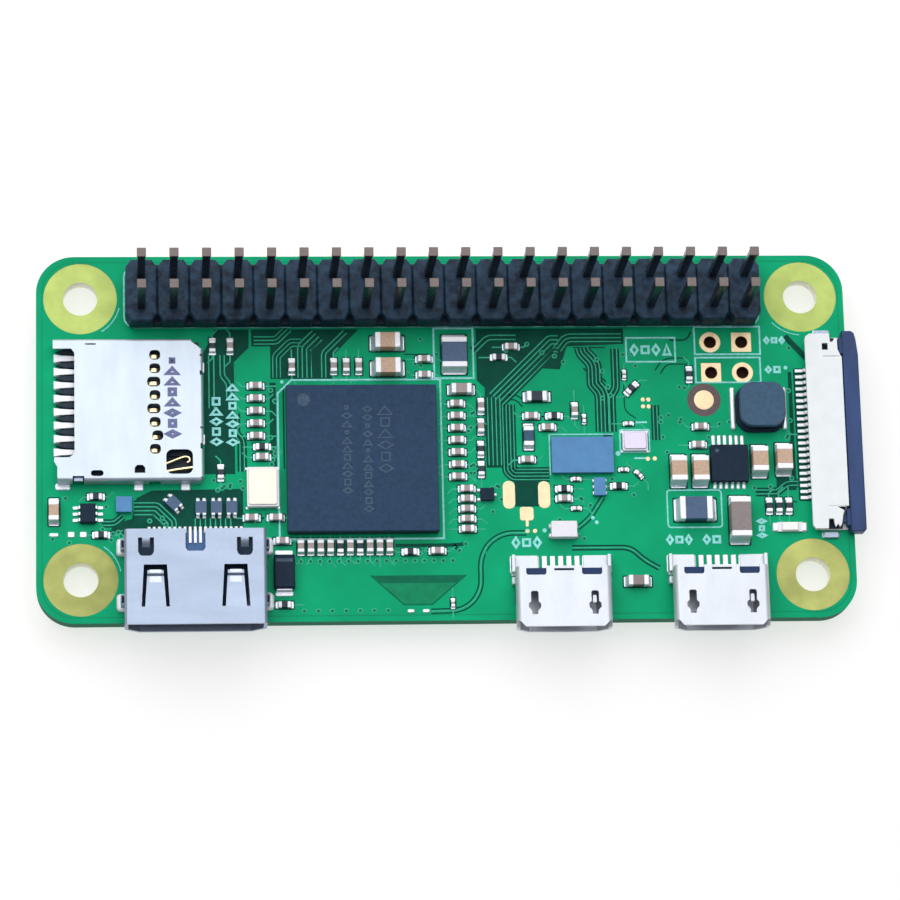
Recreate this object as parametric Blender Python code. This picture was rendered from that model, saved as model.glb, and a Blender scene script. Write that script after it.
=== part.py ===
"""A 65 x 30 mm single board computer, modelled as the separate pieces it is built from.

Lengths are in millimetres; make_object turns a finished mesh into metres. X runs along
the board towards the camera connector, Y towards the pin header, and Z up. The origin is
the middle of the board's underside.
"""

import math

import bmesh
import bpy

MM = 0.001

# Board
BOARD_LENGTH = 65.0
BOARD_WIDTH = 30.0
BOARD_THICKNESS = 1.4
CORNER_RADIUS = 3.0
TOP = BOARD_THICKNESS
BOLT_INSET = 3.5
BOLT_HOLE_RADIUS = 1.375
BOLT_SEAT_RADIUS = 3.0
BOLT_SEAT_DEPTH = 0.03

# Gaps: the solder film under a soldered piece, and the clearance of pieces that nest
SOLDER = 0.05
FIT = 0.06
SEAT = TOP + SOLDER

# Pin header
PITCH = 2.54
COLUMNS = 20
HEADER_Y = BOARD_WIDTH / 2 - BOLT_INSET
HEADER_ROWS = {"front": HEADER_Y - PITCH / 2, "rear": HEADER_Y + PITCH / 2}
PIN_HALF = 0.32
PIN_TIP_HALF = 0.28
PIN_TIP_POINT = 0.06
PIN_TAIL_HALF = 0.17
PIN_TAIL_POINT = 0.5
PIN_RISE = 8.5
PIN_TAIL = 1.6
INSULATOR_RISE = 2.5
NOTCH_HALF_WIDTH = 0.42
NOTCH_DEPTH = 0.62
CARRIER_HALF_WIDTH = 0.25
CARRIER_LOW = TOP + 0.3
CARRIER_HIGH = TOP + 0.85
PLATED_HOLE_RADIUS = 0.52
LINK_HOLES = ((21.5, 7.7), (24.04, 7.7), (21.5, 5.16), (24.04, 5.16))

# Processor with its memory stacked on it
PROCESSOR_X = -6.75
PROCESSOR_Y = -2.0
PROCESSOR_SIDE = 12.0
PROCESSOR_RISE = 0.62
MEMORY_RISE = 1.2

# Memory card socket
CARD_X = (-31.15, -19.35)
CARD_Y = (-3.8, 7.8)
CARD_RISE = 1.4
CARD_SHEET = 0.2
CARD_FLOOR = TOP + 0.42
CARD_PITCH = 1.1
CARD_CONTACTS = 8
CARD_FIRST_CONTACT_Y = 6.45
CARD_CONTACT_HALF_WIDTH = 0.25
CARD_WINDOW_X = -23.1
CARD_WINDOW_RADIUS = 0.42
CARD_NOTCH_X = -29.45
CARD_NOTCH_Y = (-1.9, 7.0)
DETECT_PIVOT = (-22.6, -2.45)

# Video socket, of the mini HDMI pattern
VIDEO_X = -20.05
VIDEO_HALF_WIDTH = 5.55
VIDEO_REAR_Y = -8.15
VIDEO_FRONT_Y = -15.75
VIDEO_RISE = 3.2
VIDEO_SHEET = 0.28

# Micro USB sockets: name and centre line
USB_SOCKETS = {"usb_data": 8.85, "usb_power": 21.35}
USB_HALF_WIDTH = 3.75
USB_REAR_Y = -11.22
USB_FLANGE_REAR_Y = -9.9
USB_FRONT_Y = -16.05
USB_RISE = 2.55
USB_SHEET = 0.25

# Radius of the fold along the upper edges of a socket, cut here as a flat
PORT_SHOULDER = 0.3

# Camera connector
CAMERA_X = (29.0, 31.95)
CAMERA_HALF_LENGTH = 8.05
LATCH_HALF_LENGTH = 8.3
CAMERA_RISE = 1.25
CAMERA_MOUTH_HALF = 5.9
LATCH_X = (32.05, 33.3)

# Chip capacitors, beads and resistors: (name, x, y, long side, short side, rise, turned, colour)
TAN = "ceramic_tan"
TAUPE = "ceramic_taupe"
SLATE = "ceramic_slate"
CHIP_PASSIVES = (
    ("input_capacitor", 23.25, -7.05, 3.2, 1.6, 1.5, True, TAUPE),
    ("regulator_capacitor_1", 18.5, -3.0, 2.0, 1.25, 1.25, True, TAN),
    ("regulator_capacitor_2", 20.25, -3.0, 2.0, 1.25, 1.25, True, TAN),
    ("regulator_capacitor_3", 25.05, -2.25, 2.0, 1.25, 1.25, True, TAN),
    ("regulator_capacitor_4", 27.0, -2.1, 2.0, 1.25, 1.25, True, TAN),
    ("core_capacitor_1", -4.55, 7.7, 2.0, 1.25, 1.25, False, TAN),
    ("core_capacitor_2", -4.55, 5.6, 2.0, 1.25, 1.25, False, TAN),
    ("core_capacitor_3", 1.3, 3.8, 1.6, 0.8, 0.8, False, TAUPE),
    ("card_capacitor", -31.1, -6.0, 1.6, 0.8, 0.8, True, TAN),
    ("usb_capacitor", 14.95, -12.0, 1.6, 0.8, 0.8, False, TAUPE),
    ("supply_bead_1", 7.35, 3.2, 1.6, 0.8, 0.5, False, SLATE),
    ("supply_bead_2", 6.6, -0.1, 1.6, 0.8, 0.5, True, SLATE),
    ("input_ferrite", 19.75, -6.2, 2.6, 1.85, 1.0, False, SLATE),
    ("core_choke", 0.8, 6.75, 2.5, 2.0, 1.0, True, SLATE),
)

# Plain bodied chips: (name, x, y, size x, size y, rise, turn in degrees, colour)
PLAIN_CHIPS = (
    ("wireless_chip", 10.85, -1.7, 4.95, 2.95, 0.55, 0, "wafer_blue"),
    ("power_regulator", 22.6, -2.5, 3.0, 3.0, 0.8, 0, "mould_black"),
    ("level_shift_chip", -25.6, -5.5, 1.25, 1.25, 0.5, 0, "wafer_blue"),
    ("line_filter_1", -19.53, -5.78, 0.9, 1.3, 0.5, 0, SLATE),
    ("line_filter_2", -18.32, -5.78, 0.9, 1.3, 0.5, 0, SLATE),
    ("line_filter_3", -17.11, -5.78, 0.9, 1.3, 0.5, 0, SLATE),
    ("line_filter_4", -21.7, -5.4, 0.9, 1.3, 0.5, 45, SLATE),
    ("radio_balun", 12.15, -4.3, 0.95, 1.45, 0.5, 0, "wafer_blue"),
    ("steering_diode", 3.15, -4.85, 1.1, 1.0, 0.45, 0, "mould_black"),
    ("antenna_filter", 9.15, -7.85, 2.05, 1.3, 0.9, 0, "ceramic_white"),
)

# Principled BSDF values: colour, roughness, metallic
FINISHES = {
    "solder_mask": ((0.02, 0.30, 0.15), 0.35, 0.0),
    "header_plastic": ((0.015, 0.018, 0.022), 0.5, 0.0),
    "pin_gold": ((0.80, 0.62, 0.36), 0.25, 1.0),
    "mould_black": ((0.03, 0.04, 0.055), 0.6, 0.0),
    "memory_mould": ((0.04, 0.06, 0.10), 0.65, 0.0),
    "wafer_blue": ((0.10, 0.27, 0.52), 0.3, 0.2),
    "shell_tin": ((0.80, 0.82, 0.86), 0.3, 1.0),
    "contact_gold": ((0.90, 0.70, 0.36), 0.25, 1.0),
    "socket_plastic": ((0.03, 0.05, 0.06), 0.55, 0.0),
    "insulator_blue": ((0.07, 0.12, 0.22), 0.55, 0.0),
    "housing_ivory": ((0.86, 0.86, 0.84), 0.45, 0.0),
    "latch_black": ((0.02, 0.03, 0.06), 0.4, 0.0),
    "ceramic_tan": ((0.55, 0.38, 0.27), 0.5, 0.0),
    "ceramic_taupe": ((0.30, 0.27, 0.26), 0.5, 0.0),
    "ceramic_slate": ((0.10, 0.15, 0.22), 0.45, 0.0),
    "ceramic_white": ((0.88, 0.87, 0.88), 0.4, 0.0),
    "lid_silver": ((0.86, 0.86, 0.88), 0.28, 1.0),
    "led_white": ((0.92, 0.92, 0.88), 0.35, 0.0),
}


# ---------------------------------------------------------------------------
# Mesh helpers
# ---------------------------------------------------------------------------

def clear_scene():
    """Remove whatever the open file holds."""
    for thing in list(bpy.data.objects):
        bpy.data.objects.remove(thing, do_unlink=True)


def finish(name):
    """Give the material of that name, made on first use."""
    material = bpy.data.materials.get(name)
    if material is None:
        colour, roughness, metallic = FINISHES[name]
        material = bpy.data.materials.new(name)
        material.use_nodes = True
        shader = material.node_tree.nodes["Principled BSDF"]
        shader.inputs["Base Color"].default_value = (*colour, 1.0)
        shader.inputs["Roughness"].default_value = roughness
        shader.inputs["Metallic"].default_value = metallic
    return material


def make_object(name, bm, material=None, at=(0.0, 0.0, 0.0), turn=0.0):
    """Make a Blender object in metres from a bmesh in millimetres."""
    bmesh.ops.scale(bm, vec=(MM, MM, MM), verts=bm.verts)
    mesh = bpy.data.meshes.new(name)
    bm.to_mesh(mesh)
    bm.free()
    if material:
        mesh.materials.append(finish(material))
    thing = bpy.data.objects.new(name, mesh)
    thing.location = [MM * value for value in at]
    thing.rotation_euler = (0.0, 0.0, math.radians(turn))
    bpy.context.collection.objects.link(thing)
    return thing


def combine(target, bm, name, operation):
    """Cut a bmesh from an object, or join it on, with an exact Boolean."""
    tool = make_object(name, bm)
    tool.hide_render = True
    tool.display_type = "WIRE"
    modifier = target.modifiers.new(name, "BOOLEAN")
    modifier.operation = operation
    modifier.solver = "EXACT"
    modifier.object = tool


def cut(target, bm, name):
    combine(target, bm, name, "DIFFERENCE")


def join(target, bm, name):
    combine(target, bm, name, "UNION")


def prism(bm, outline, low, high, along="z"):
    """Push a closed outline of (u, v) points from low to high along an axis."""
    def point(u, v, w):
        return {"x": (w, u, v), "y": (u, w, v), "z": (u, v, w)}[along]

    first = [bm.verts.new(point(u, v, low)) for u, v in outline]
    last = [bm.verts.new(point(u, v, high)) for u, v in outline]
    faces = [bm.faces.new(first), bm.faces.new(last)]
    count = len(outline)
    for i in range(count):
        j = (i + 1) % count
        faces.append(bm.faces.new((first[i], first[j], last[j], last[i])))
    bmesh.ops.recalc_face_normals(bm, faces=faces)


def box(bm, xs, ys, zs):
    """Add a box between two values on each axis."""
    prism(bm, [(xs[0], ys[0]), (xs[1], ys[0]), (xs[1], ys[1]), (xs[0], ys[1])], *zs)


def stack(bm, sections, along="z", centre=(0.0, 0.0)):
    """Loft a closed body through rectangles given as (position, half u, half v)."""
    rings = []
    for position, half_u, half_v in sections:
        ring = []
        for sign_u, sign_v in ((-1, -1), (1, -1), (1, 1), (-1, 1)):
            u = centre[0] + sign_u * half_u
            v = centre[1] + sign_v * half_v
            ring.append(bm.verts.new({"x": (position, u, v), "y": (u, position, v),
                                      "z": (u, v, position)}[along]))
        rings.append(ring)
    faces = [bm.faces.new(rings[0]), bm.faces.new(rings[-1])]
    for lower, upper in zip(rings, rings[1:]):
        for i in range(4):
            j = (i + 1) % 4
            faces.append(bm.faces.new((lower[i], lower[j], upper[j], upper[i])))
    bmesh.ops.recalc_face_normals(bm, faces=faces)


def circle(x, y, radius, sides):
    """Points of a regular polygon on a circle."""
    step = 2 * math.pi / sides
    return [(x + radius * math.cos(step * i), y + radius * math.sin(step * i))
            for i in range(sides)]


def rounded_rectangle(xs, ys, radius, steps):
    """Outline of a rectangle with its corners rounded by arcs."""
    corners = ((xs[1] - radius, ys[1] - radius, 0), (xs[0] + radius, ys[1] - radius, 90),
               (xs[0] + radius, ys[0] + radius, 180), (xs[1] - radius, ys[0] + radius, 270))
    points = []
    for x, y, start in corners:
        for i in range(steps + 1):
            angle = math.radians(start + 90 * i / steps)
            points.append((x + radius * math.cos(angle), y + radius * math.sin(angle)))
    return points


def port_outline(x, half_width, low, high, keel, shoulder, inset=0.0):
    """Cross-section of a plug socket: bevelled keel corners, softened shoulders.

    An inset moves every side inwards by the same distance.
    """
    shrink = inset * (2 - math.sqrt(2))
    keel -= shrink
    shoulder = max(shoulder - shrink, 0.04)
    half = half_width - inset
    low += inset
    high -= inset
    right = [(half - keel, low), (half, low + keel),
             (half, high - shoulder), (half - shoulder, high)]
    left = [(-u, v) for u, v in reversed(right)]
    return [(x + u, v) for u, v in right + left]


# ---------------------------------------------------------------------------
# Board and pin header
# ---------------------------------------------------------------------------

def header_columns():
    """X of each column of pins."""
    return [PITCH * (i - (COLUMNS - 1) / 2) for i in range(COLUMNS)]


def build_board():
    """The board, with its lacquer left off in a ring round each bolt hole."""
    half_length = BOARD_LENGTH / 2
    half_width = BOARD_WIDTH / 2
    bm = bmesh.new()
    outline = rounded_rectangle((-half_length, half_length), (-half_width, half_width),
                                CORNER_RADIUS, 6)
    prism(bm, outline, 0.0, BOARD_THICKNESS)
    board = make_object("circuit_board", bm, "solder_mask")

    seats = bmesh.new()
    holes = bmesh.new()
    below, above = -1.0, BOARD_THICKNESS + 1.0
    for sign_x in (-1, 1):
        for sign_y in (-1, 1):
            x = sign_x * (half_length - BOLT_INSET)
            y = sign_y * (half_width - BOLT_INSET)
            prism(holes, circle(x, y, BOLT_HOLE_RADIUS, 24), below, above)
            prism(seats, circle(x, y, BOLT_SEAT_RADIUS, 24), below, BOLT_SEAT_DEPTH)
            prism(seats, circle(x, y, BOLT_SEAT_RADIUS, 24), TOP - BOLT_SEAT_DEPTH, above)
    for row_y in HEADER_ROWS.values():
        for x in header_columns():
            prism(holes, circle(x, row_y, PLATED_HOLE_RADIUS, 8), below, above)
    for x, y in LINK_HOLES:
        prism(holes, circle(x, y, PLATED_HOLE_RADIUS, 10), below, above)
    cut(board, seats, "board_bolt_seats")
    cut(board, holes, "board_holes")


def build_header_insulator():
    front = HEADER_Y - PITCH
    rear = HEADER_Y + PITCH
    half_cell = PITCH / 2
    flat = half_cell - NOTCH_HALF_WIDTH
    front_side = []
    rear_side = []
    for x in header_columns():
        front_side += [(x - half_cell, front + NOTCH_DEPTH),
                       (x - flat, front), (x + flat, front)]
        rear_side += [(x - half_cell, rear - NOTCH_DEPTH),
                      (x - flat, rear), (x + flat, rear)]
    end_x = header_columns()[-1] + half_cell
    front_side.append((end_x, front + NOTCH_DEPTH))
    rear_side.append((end_x, rear - NOTCH_DEPTH))
    bm = bmesh.new()
    prism(bm, front_side + rear_side[::-1], SEAT, TOP + INSULATOR_RISE)
    insulator = make_object("header_insulator", bm, "header_plastic")

    grooves = bmesh.new()
    shafts = bmesh.new()
    groove_end = header_columns()[-1] + PIN_HALF + 0.3
    groove_half = PIN_HALF + FIT
    for row_y in HEADER_ROWS.values():
        groove_y = (row_y - groove_half, row_y + groove_half)
        box(grooves, (-groove_end, groove_end), groove_y, (TOP - 1.0, CARRIER_HIGH + FIT))
        for x in header_columns():
            box(shafts, (x - groove_half, x + groove_half), groove_y,
                (CARRIER_HIGH - 0.1, TOP + INSULATOR_RISE + 1.0))
    cut(insulator, grooves, "insulator_grooves")
    cut(insulator, shafts, "insulator_shafts")


def build_header_pins(row):
    """One row of square pins, held by a thin carrier hidden in the insulator."""
    row_y = HEADER_ROWS[row]
    columns = header_columns()
    bm = bmesh.new()
    box(bm, (columns[0] - 0.2, columns[-1] + 0.2),
        (row_y - CARRIER_HALF_WIDTH, row_y + CARRIER_HALF_WIDTH), (CARRIER_LOW, CARRIER_HIGH))
    pins = make_object(f"header_pins_{row}_row", bm, "pin_gold")

    shafts = bmesh.new()
    sections = [(-PIN_TAIL, PIN_TAIL_HALF, PIN_TAIL_HALF),
                (PIN_TAIL_POINT - PIN_TAIL, PIN_HALF, PIN_HALF),
                (TOP + PIN_RISE - PIN_TIP_POINT, PIN_HALF, PIN_HALF),
                (TOP + PIN_RISE, PIN_TIP_HALF, PIN_TIP_HALF)]
    for x in columns:
        stack(shafts, sections, "z", (x, row_y))
    join(pins, shafts, f"pin_shafts_{row}")


# ---------------------------------------------------------------------------
# Chips and passives
# ---------------------------------------------------------------------------

def build_chip(name, x, y, size_x, size_y, low, high, material, turn=0.0, edge=0.06):
    """A moulded or cut package with its upper edges broken."""
    bm = bmesh.new()
    half_x = size_x / 2
    half_y = size_y / 2
    stack(bm, [(low, half_x, half_y), (high - edge, half_x, half_y),
               (high, half_x - edge, half_y - edge)])
    make_object(name, bm, material, (x, y, 0.0), turn)


def build_processor_stack():
    build_chip("processor_package", PROCESSOR_X, PROCESSOR_Y, PROCESSOR_SIDE, PROCESSOR_SIDE,
               SEAT, TOP + PROCESSOR_RISE, "mould_black", edge=0.04)
    build_chip("memory_package", PROCESSOR_X, PROCESSOR_Y, PROCESSOR_SIDE, PROCESSOR_SIDE,
               TOP + PROCESSOR_RISE + SOLDER, TOP + MEMORY_RISE, "memory_mould", edge=0.08)


def build_chip_passive(name, x, y, long_side, short_side, rise, turned, material):
    """A ceramic block between two metal end caps that stand slightly proud of it."""
    cap = 0.24 * long_side
    waist = 0.03
    half_long = long_side / 2
    half_short = short_side / 2
    middle = (SEAT + TOP + rise) / 2
    half_rise = (TOP + rise - SEAT) / 2
    sections = []
    for position, inset in ((-half_long, 0), (-half_long + cap, 0), (-half_long + cap, waist),
                            (half_long - cap, waist), (half_long - cap, 0), (half_long, 0)):
        sections.append((position, half_short - inset, half_rise - inset))
    bm = bmesh.new()
    stack(bm, sections, "x", (0.0, middle))
    make_object(name, bm, material, (x, y, 0.0), 90.0 if turned else 0.0)


def build_power_inductor():
    """A drum-core inductor: octagonal top, square foot, metal ends."""
    x, y, half, rise = 25.3, 2.25, 1.98, 1.8
    nick = 0.55
    outline = [(half, half - nick), (half - nick, half),
               (nick - half, half), (-half, half - nick),
               (-half, nick - half), (nick - half, -half),
               (half - nick, -half), (half, nick - half)]
    bm = bmesh.new()
    prism(bm, outline, SEAT + 0.35, TOP + rise)
    inductor = make_object("power_inductor", bm, SLATE, (x, y, 0.0))
    foot = bmesh.new()
    box(foot, (x - 2.2, x + 2.2), (y - 1.75, y + 1.75), (SEAT, SEAT + 0.5))
    join(inductor, foot, "inductor_foot")


def build_crystals():
    """Ceramic cans with a metal lid: the processor's and the radio's."""
    crystals = (("main_crystal", -14.65, -4.2, 1.25, 1.6, 0.8),
                ("wireless_crystal", 15.1, -0.55, 1.0, 0.8, 0.55))
    lid = 0.09
    lid_edge = 0.12
    for name, x, y, half_x, half_y, rise in crystals:
        bm = bmesh.new()
        stack(bm, [(SEAT, half_x, half_y), (TOP + rise - lid_edge, half_x, half_y),
                   (TOP + rise - lid_edge, half_x - lid, half_y - lid),
                   (TOP + rise, half_x - lid, half_y - lid)])
        make_object(name, bm, "lid_silver", (x, y, 0.0))


def build_diode():
    """A flat-lead diode: a moulded body over two strip terminals."""
    bm = bmesh.new()
    stack(bm, [(SEAT + 0.1, 0.8, 1.35), (TOP + 0.6, 0.84, 1.38), (TOP + 1.05, 0.74, 1.28)])
    diode = make_object("protection_diode", bm, "mould_black", (-13.05, -11.1, 0.0))
    strips = bmesh.new()
    box(strips, (-13.55, -12.55), (-12.95, -9.25), (SEAT, SEAT + 0.18))
    join(diode, strips, "diode_strips")


def build_status_led():
    """A small side-terminal LED: a thin base and a clear lens block."""
    bm = bmesh.new()
    stack(bm, [(SEAT, 1.0, 0.38), (SEAT + 0.14, 1.0, 0.38),
               (SEAT + 0.14, 0.8, 0.38), (TOP + 0.45, 0.76, 0.34)])
    make_object("status_led", bm, "led_white", (27.3, -7.65, 0.0))


def build_card_power_switch():
    """A six-lead chip: leads come out of the sides half way up and step down."""
    x, y = -28.43, -6.2
    bm = bmesh.new()
    stack(bm, [(SEAT + 0.03, 0.55, 0.75), (SEAT + 0.25, 0.6, 0.8), (TOP + 0.58, 0.54, 0.74)])
    chip = make_object("card_power_switch", bm, "mould_black", (x, y, 0.0))
    leads = bmesh.new()
    for i in (-1, 0, 1):
        low, high, knee = SEAT, SEAT + 0.24, 0.1
        side = [(0.5, high - knee), (0.85, high - knee), (0.85, low), (1.15, low),
                (1.15, low + knee), (0.95, low + knee), (0.95, high), (0.5, high)]
        for sign in (-1, 1):
            outline = [(x + sign * u, v) for u, v in side]
            prism(leads, outline, y + 0.5 * i - 0.12, y + 0.5 * i + 0.12, "y")
    join(chip, leads, "switch_leads")


# ---------------------------------------------------------------------------
# Memory card socket
# ---------------------------------------------------------------------------

def card_contact_rows():
    """Y of each contact of the card socket."""
    return [CARD_FIRST_CONTACT_Y - CARD_PITCH * i for i in range(CARD_CONTACTS)]


def build_card_shell():
    """Folded sheet cover: a roof with windows and walls on three sides."""
    x0, x1 = CARD_X
    y0, y1 = CARD_Y
    roof = TOP + CARD_RISE
    nick = 0.4
    outline = [(x0, y0), (x1, y0), (x1, y1 - 1.6 * nick), (x1 - nick, y1), (x0, y1)]
    bm = bmesh.new()
    prism(bm, outline, SEAT, roof)
    shell = make_object("card_socket_shell", bm, "shell_tin")

    room = bmesh.new()
    box(room, (x0 - 1.0, x1 - CARD_SHEET), (y0 + CARD_SHEET, y1 - CARD_SHEET), (0.0, roof - CARD_SHEET))
    cut(shell, room, "card_room")

    below, above = roof - 2 * CARD_SHEET, roof + 1.0
    openings = bmesh.new()
    box(openings, (x0 - 1.0, CARD_NOTCH_X), CARD_NOTCH_Y, (below, above))
    box(openings, (x0 - 1.0, x0 + 0.3), (y0 + 0.6, CARD_NOTCH_Y[0] - 0.15), (below, above))
    for y in card_contact_rows():
        prism(openings, circle(CARD_WINDOW_X, y, CARD_WINDOW_RADIUS, 10), below, above)
    prism(openings, rounded_rectangle((-22.25, -20.15), (-3.3, -1.3), 0.35, 3), below, above)
    prism(openings, rounded_rectangle((-28.2, -27.15), (-3.55, -3.0), 0.26, 3), below, above)
    prism(openings, rounded_rectangle((-24.75, -23.9), (-3.2, -2.55), 0.2, 3), below, above)
    cut(shell, openings, "card_shell_openings")

    gaps = bmesh.new()
    for low_y, high_y in ((5.0, 6.4), (-0.95, 0.4)):
        box(gaps, (x1 - 0.6, x1 + 0.6), (low_y, low_y + 0.15), (0.0, roof - 0.35))
        box(gaps, (x1 - 0.6, x1 + 0.6), (high_y, high_y + 0.15), (0.0, roof - 0.35))
    for low_x, high_x in ((-29.6, -28.7), (-23.6, -22.7)):
        box(gaps, (low_x, high_x), (y0 - 0.6, y0 + 0.6), (0.0, TOP + 0.7))
    cut(shell, gaps, "card_shell_gaps")


def build_card_base():
    """Plastic floor with a channel under each contact, and a stop at its far end."""
    x0, x1 = CARD_X
    y0, y1 = CARD_Y
    inner_y = (y0 + CARD_SHEET + FIT, y1 - CARD_SHEET - FIT)
    front_x = x0 + 0.75
    back_x = x1 - CARD_SHEET - FIT
    stop_x = back_x - 0.55
    ceiling = TOP + CARD_RISE - CARD_SHEET - FIT
    side = [(front_x, SEAT), (back_x, SEAT), (back_x, ceiling),
            (stop_x, ceiling), (stop_x, CARD_FLOOR), (front_x, CARD_FLOOR)]
    bm = bmesh.new()
    prism(bm, side, *inner_y, "y")
    base = make_object("card_socket_base", bm, "socket_plastic")
    channels = bmesh.new()
    half = CARD_CONTACT_HALF_WIDTH + FIT
    for y in card_contact_rows():
        box(channels, (x0 - 1.0, CARD_WINDOW_X + 0.75), (y - half, y + half),
            (SEAT + 0.1, TOP + 1.0))
    cut(base, channels, "card_channels")
    pocket = bmesh.new()
    box(pocket, (-23.2, x1 + 1.0), (-3.35, -1.65), (SEAT + 0.12, TOP + 2.0))
    cut(base, pocket, "card_pocket")


def build_card_contacts():
    """Eight spring strips: a soldered tail, a flat run and a crowned tip under each window."""
    x0 = CARD_X[0]
    tip = CARD_WINDOW_X
    floor = SEAT + 0.1 + FIT
    thick = 0.12
    crown = TOP + 0.72
    nose = TOP + 0.5
    lower = [(x0 + 0.05, SEAT), (x0 + 0.6, SEAT), (x0 + 0.75, floor),
             (tip - 3.2, floor), (tip, crown), (tip + 0.55, nose)]
    upper = [(tip + 0.6, nose + thick), (tip, crown + thick), (tip - 3.25, floor + thick),
             (x0 + 0.68, floor + thick), (x0 + 0.53, SEAT + thick), (x0 + 0.05, SEAT + thick)]
    for i, y in enumerate(card_contact_rows()):
        bm = bmesh.new()
        prism(bm, lower + upper, y - CARD_CONTACT_HALF_WIDTH, y + CARD_CONTACT_HALF_WIDTH, "y")
        make_object(f"card_contact_{i + 1}", bm, "contact_gold")


def strip_outline(points, thickness):
    """Outline of a thin strip that follows a line of points."""
    left = []
    right = []
    for i, (x, y) in enumerate(points):
        before = points[max(i - 1, 0)]
        after = points[min(i + 1, len(points) - 1)]
        length = math.hypot(after[0] - before[0], after[1] - before[1])
        across_x = -(after[1] - before[1]) / length * thickness / 2
        across_y = (after[0] - before[0]) / length * thickness / 2
        left.append((x + across_x, y + across_y))
        right.append((x - across_x, y - across_y))
    return left + right[::-1]


def build_card_detect():
    """The switch that senses a card: a spring arm that swings, and a fixed blade."""
    pivot_x, pivot_y = DETECT_PIVOT
    hook = [(pivot_x, pivot_y), (-21.4, -1.95), (-20.75, -1.75),
            (-20.45, -1.85), (-20.4, -2.08), (-20.6, -2.2)]
    local = [(x - pivot_x, y - pivot_y) for x, y in hook]
    bm = bmesh.new()
    prism(bm, strip_outline(local, 0.12), TOP + 0.5, TOP + 0.85)
    make_object("card_detect_spring", bm, "contact_gold", (pivot_x, pivot_y, 0.0))

    blade = bmesh.new()
    line = [(-22.6, -3.0), (-21.4, -2.78), (-20.1, -2.6)]
    prism(blade, strip_outline(line, 0.14), SEAT + 0.12 + FIT, TOP + 0.85)
    make_object("card_detect_blade", blade, "contact_gold")


# ---------------------------------------------------------------------------
# Plug sockets
# ---------------------------------------------------------------------------

def socket_outline(port, inset=0.0):
    """Cross-section of a socket, from its table of sizes."""
    return port_outline(port["x"], port["half_width"], SEAT, TOP + port["rise"], port["keel"],
                        PORT_SHOULDER, inset)


def build_socket_shell(name, port):
    """Folded tube of sheet metal, open at the front and back."""
    bm = bmesh.new()
    prism(bm, socket_outline(port), port["front"], port["rear"], "y")
    shell = make_object(f"{name}_shell", bm, "shell_tin")
    room = bmesh.new()
    prism(room, socket_outline(port, port["sheet"]), port["front"] - 1.0, port["rear"] + 1.0, "y")
    cut(shell, room, f"{name}_room")
    return shell


def build_socket_insulator(name, port, depth, half_tongue, tongue_rises, tip_inset):
    """Plastic block at the back of a socket, with the contact tongue that it carries."""
    bm = bmesh.new()
    prism(bm, socket_outline(port, port["sheet"] + FIT), port["rear"] - depth, port["rear"] - 0.1, "y")
    insulator = make_object(f"{name}_insulator", bm, "insulator_blue")
    low, high = tongue_rises
    x = port["x"]
    blade = bmesh.new()
    box(blade, (x - half_tongue, x + half_tongue),
        (port["front"] + tip_inset, port["rear"] - depth + 0.3), (TOP + low, TOP + high))
    join(insulator, blade, f"{name}_tongue")


def spring_slot(x, y, half_x, half_y, width):
    """U-shaped slot around a spring finger that is rooted towards the back."""
    outer = [(x - half_x, y + half_y), (x - half_x, y - half_y),
             (x + half_x, y - half_y), (x + half_x, y + half_y)]
    inner = [(x + half_x - width, y + half_y), (x + half_x - width, y - half_y + width),
             (x - half_x + width, y - half_y + width), (x - half_x + width, y + half_y)]
    return outer + inner


def finger_slot(x, y, half_rear, half_front, half_y, width, bar):
    """Slot around a spring finger that is rooted towards the front and widens to its root."""
    rear = y + half_y
    front = y - half_y
    outer = [(x + half_front, front), (x + half_rear, rear),
             (x - half_rear, rear), (x - half_front, front)]
    inner = [(x - half_front + width, front), (x - half_rear + width, rear - bar),
             (x + half_rear - width, rear - bar), (x + half_front - width, front)]
    return outer + inner


def build_video_socket():
    port = {"x": VIDEO_X, "half_width": VIDEO_HALF_WIDTH, "front": VIDEO_FRONT_Y,
            "rear": VIDEO_REAR_Y, "rise": VIDEO_RISE, "keel": 1.1, "sheet": VIDEO_SHEET}
    shell = build_socket_shell("video_socket", port)
    roof = TOP + VIDEO_RISE
    below, above = roof - 2 * VIDEO_SHEET, roof + 1.0
    openings = bmesh.new()
    box(openings, (VIDEO_X - 0.78, VIDEO_X + 0.78), (-9.95, VIDEO_REAR_Y + 1.0), (below, above))
    for sign in (-1, 1):
        prism(openings, spring_slot(VIDEO_X + 3.85 * sign, -9.55, 0.63, 0.75, 0.4), below, above)
        prism(openings, finger_slot(VIDEO_X + 3.15 * sign, -12.65, 0.95, 1.15, 1.75, 0.28, 0.42),
              below, above)
    cut(shell, openings, "video_openings")
    ears = bmesh.new()
    for sign in (-1, 1):
        inner, knee, outer = (VIDEO_X + sign * (VIDEO_HALF_WIDTH + reach)
                              for reach in (-0.15, 0.15, 0.45))
        bracket = [(inner, TOP + 1.15), (knee, TOP + 1.15), (knee, SEAT),
                   (outer, SEAT), (outer, TOP + 1.4), (inner, TOP + 1.4)]
        for y in (-8.95, -13.4):
            prism(ears, bracket, y - 0.6, y + 0.6, "y")
    join(shell, ears, "video_ears")
    build_socket_insulator("video_socket", port, 2.0, 4.1, (1.45, 2.05), 0.75)


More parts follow.
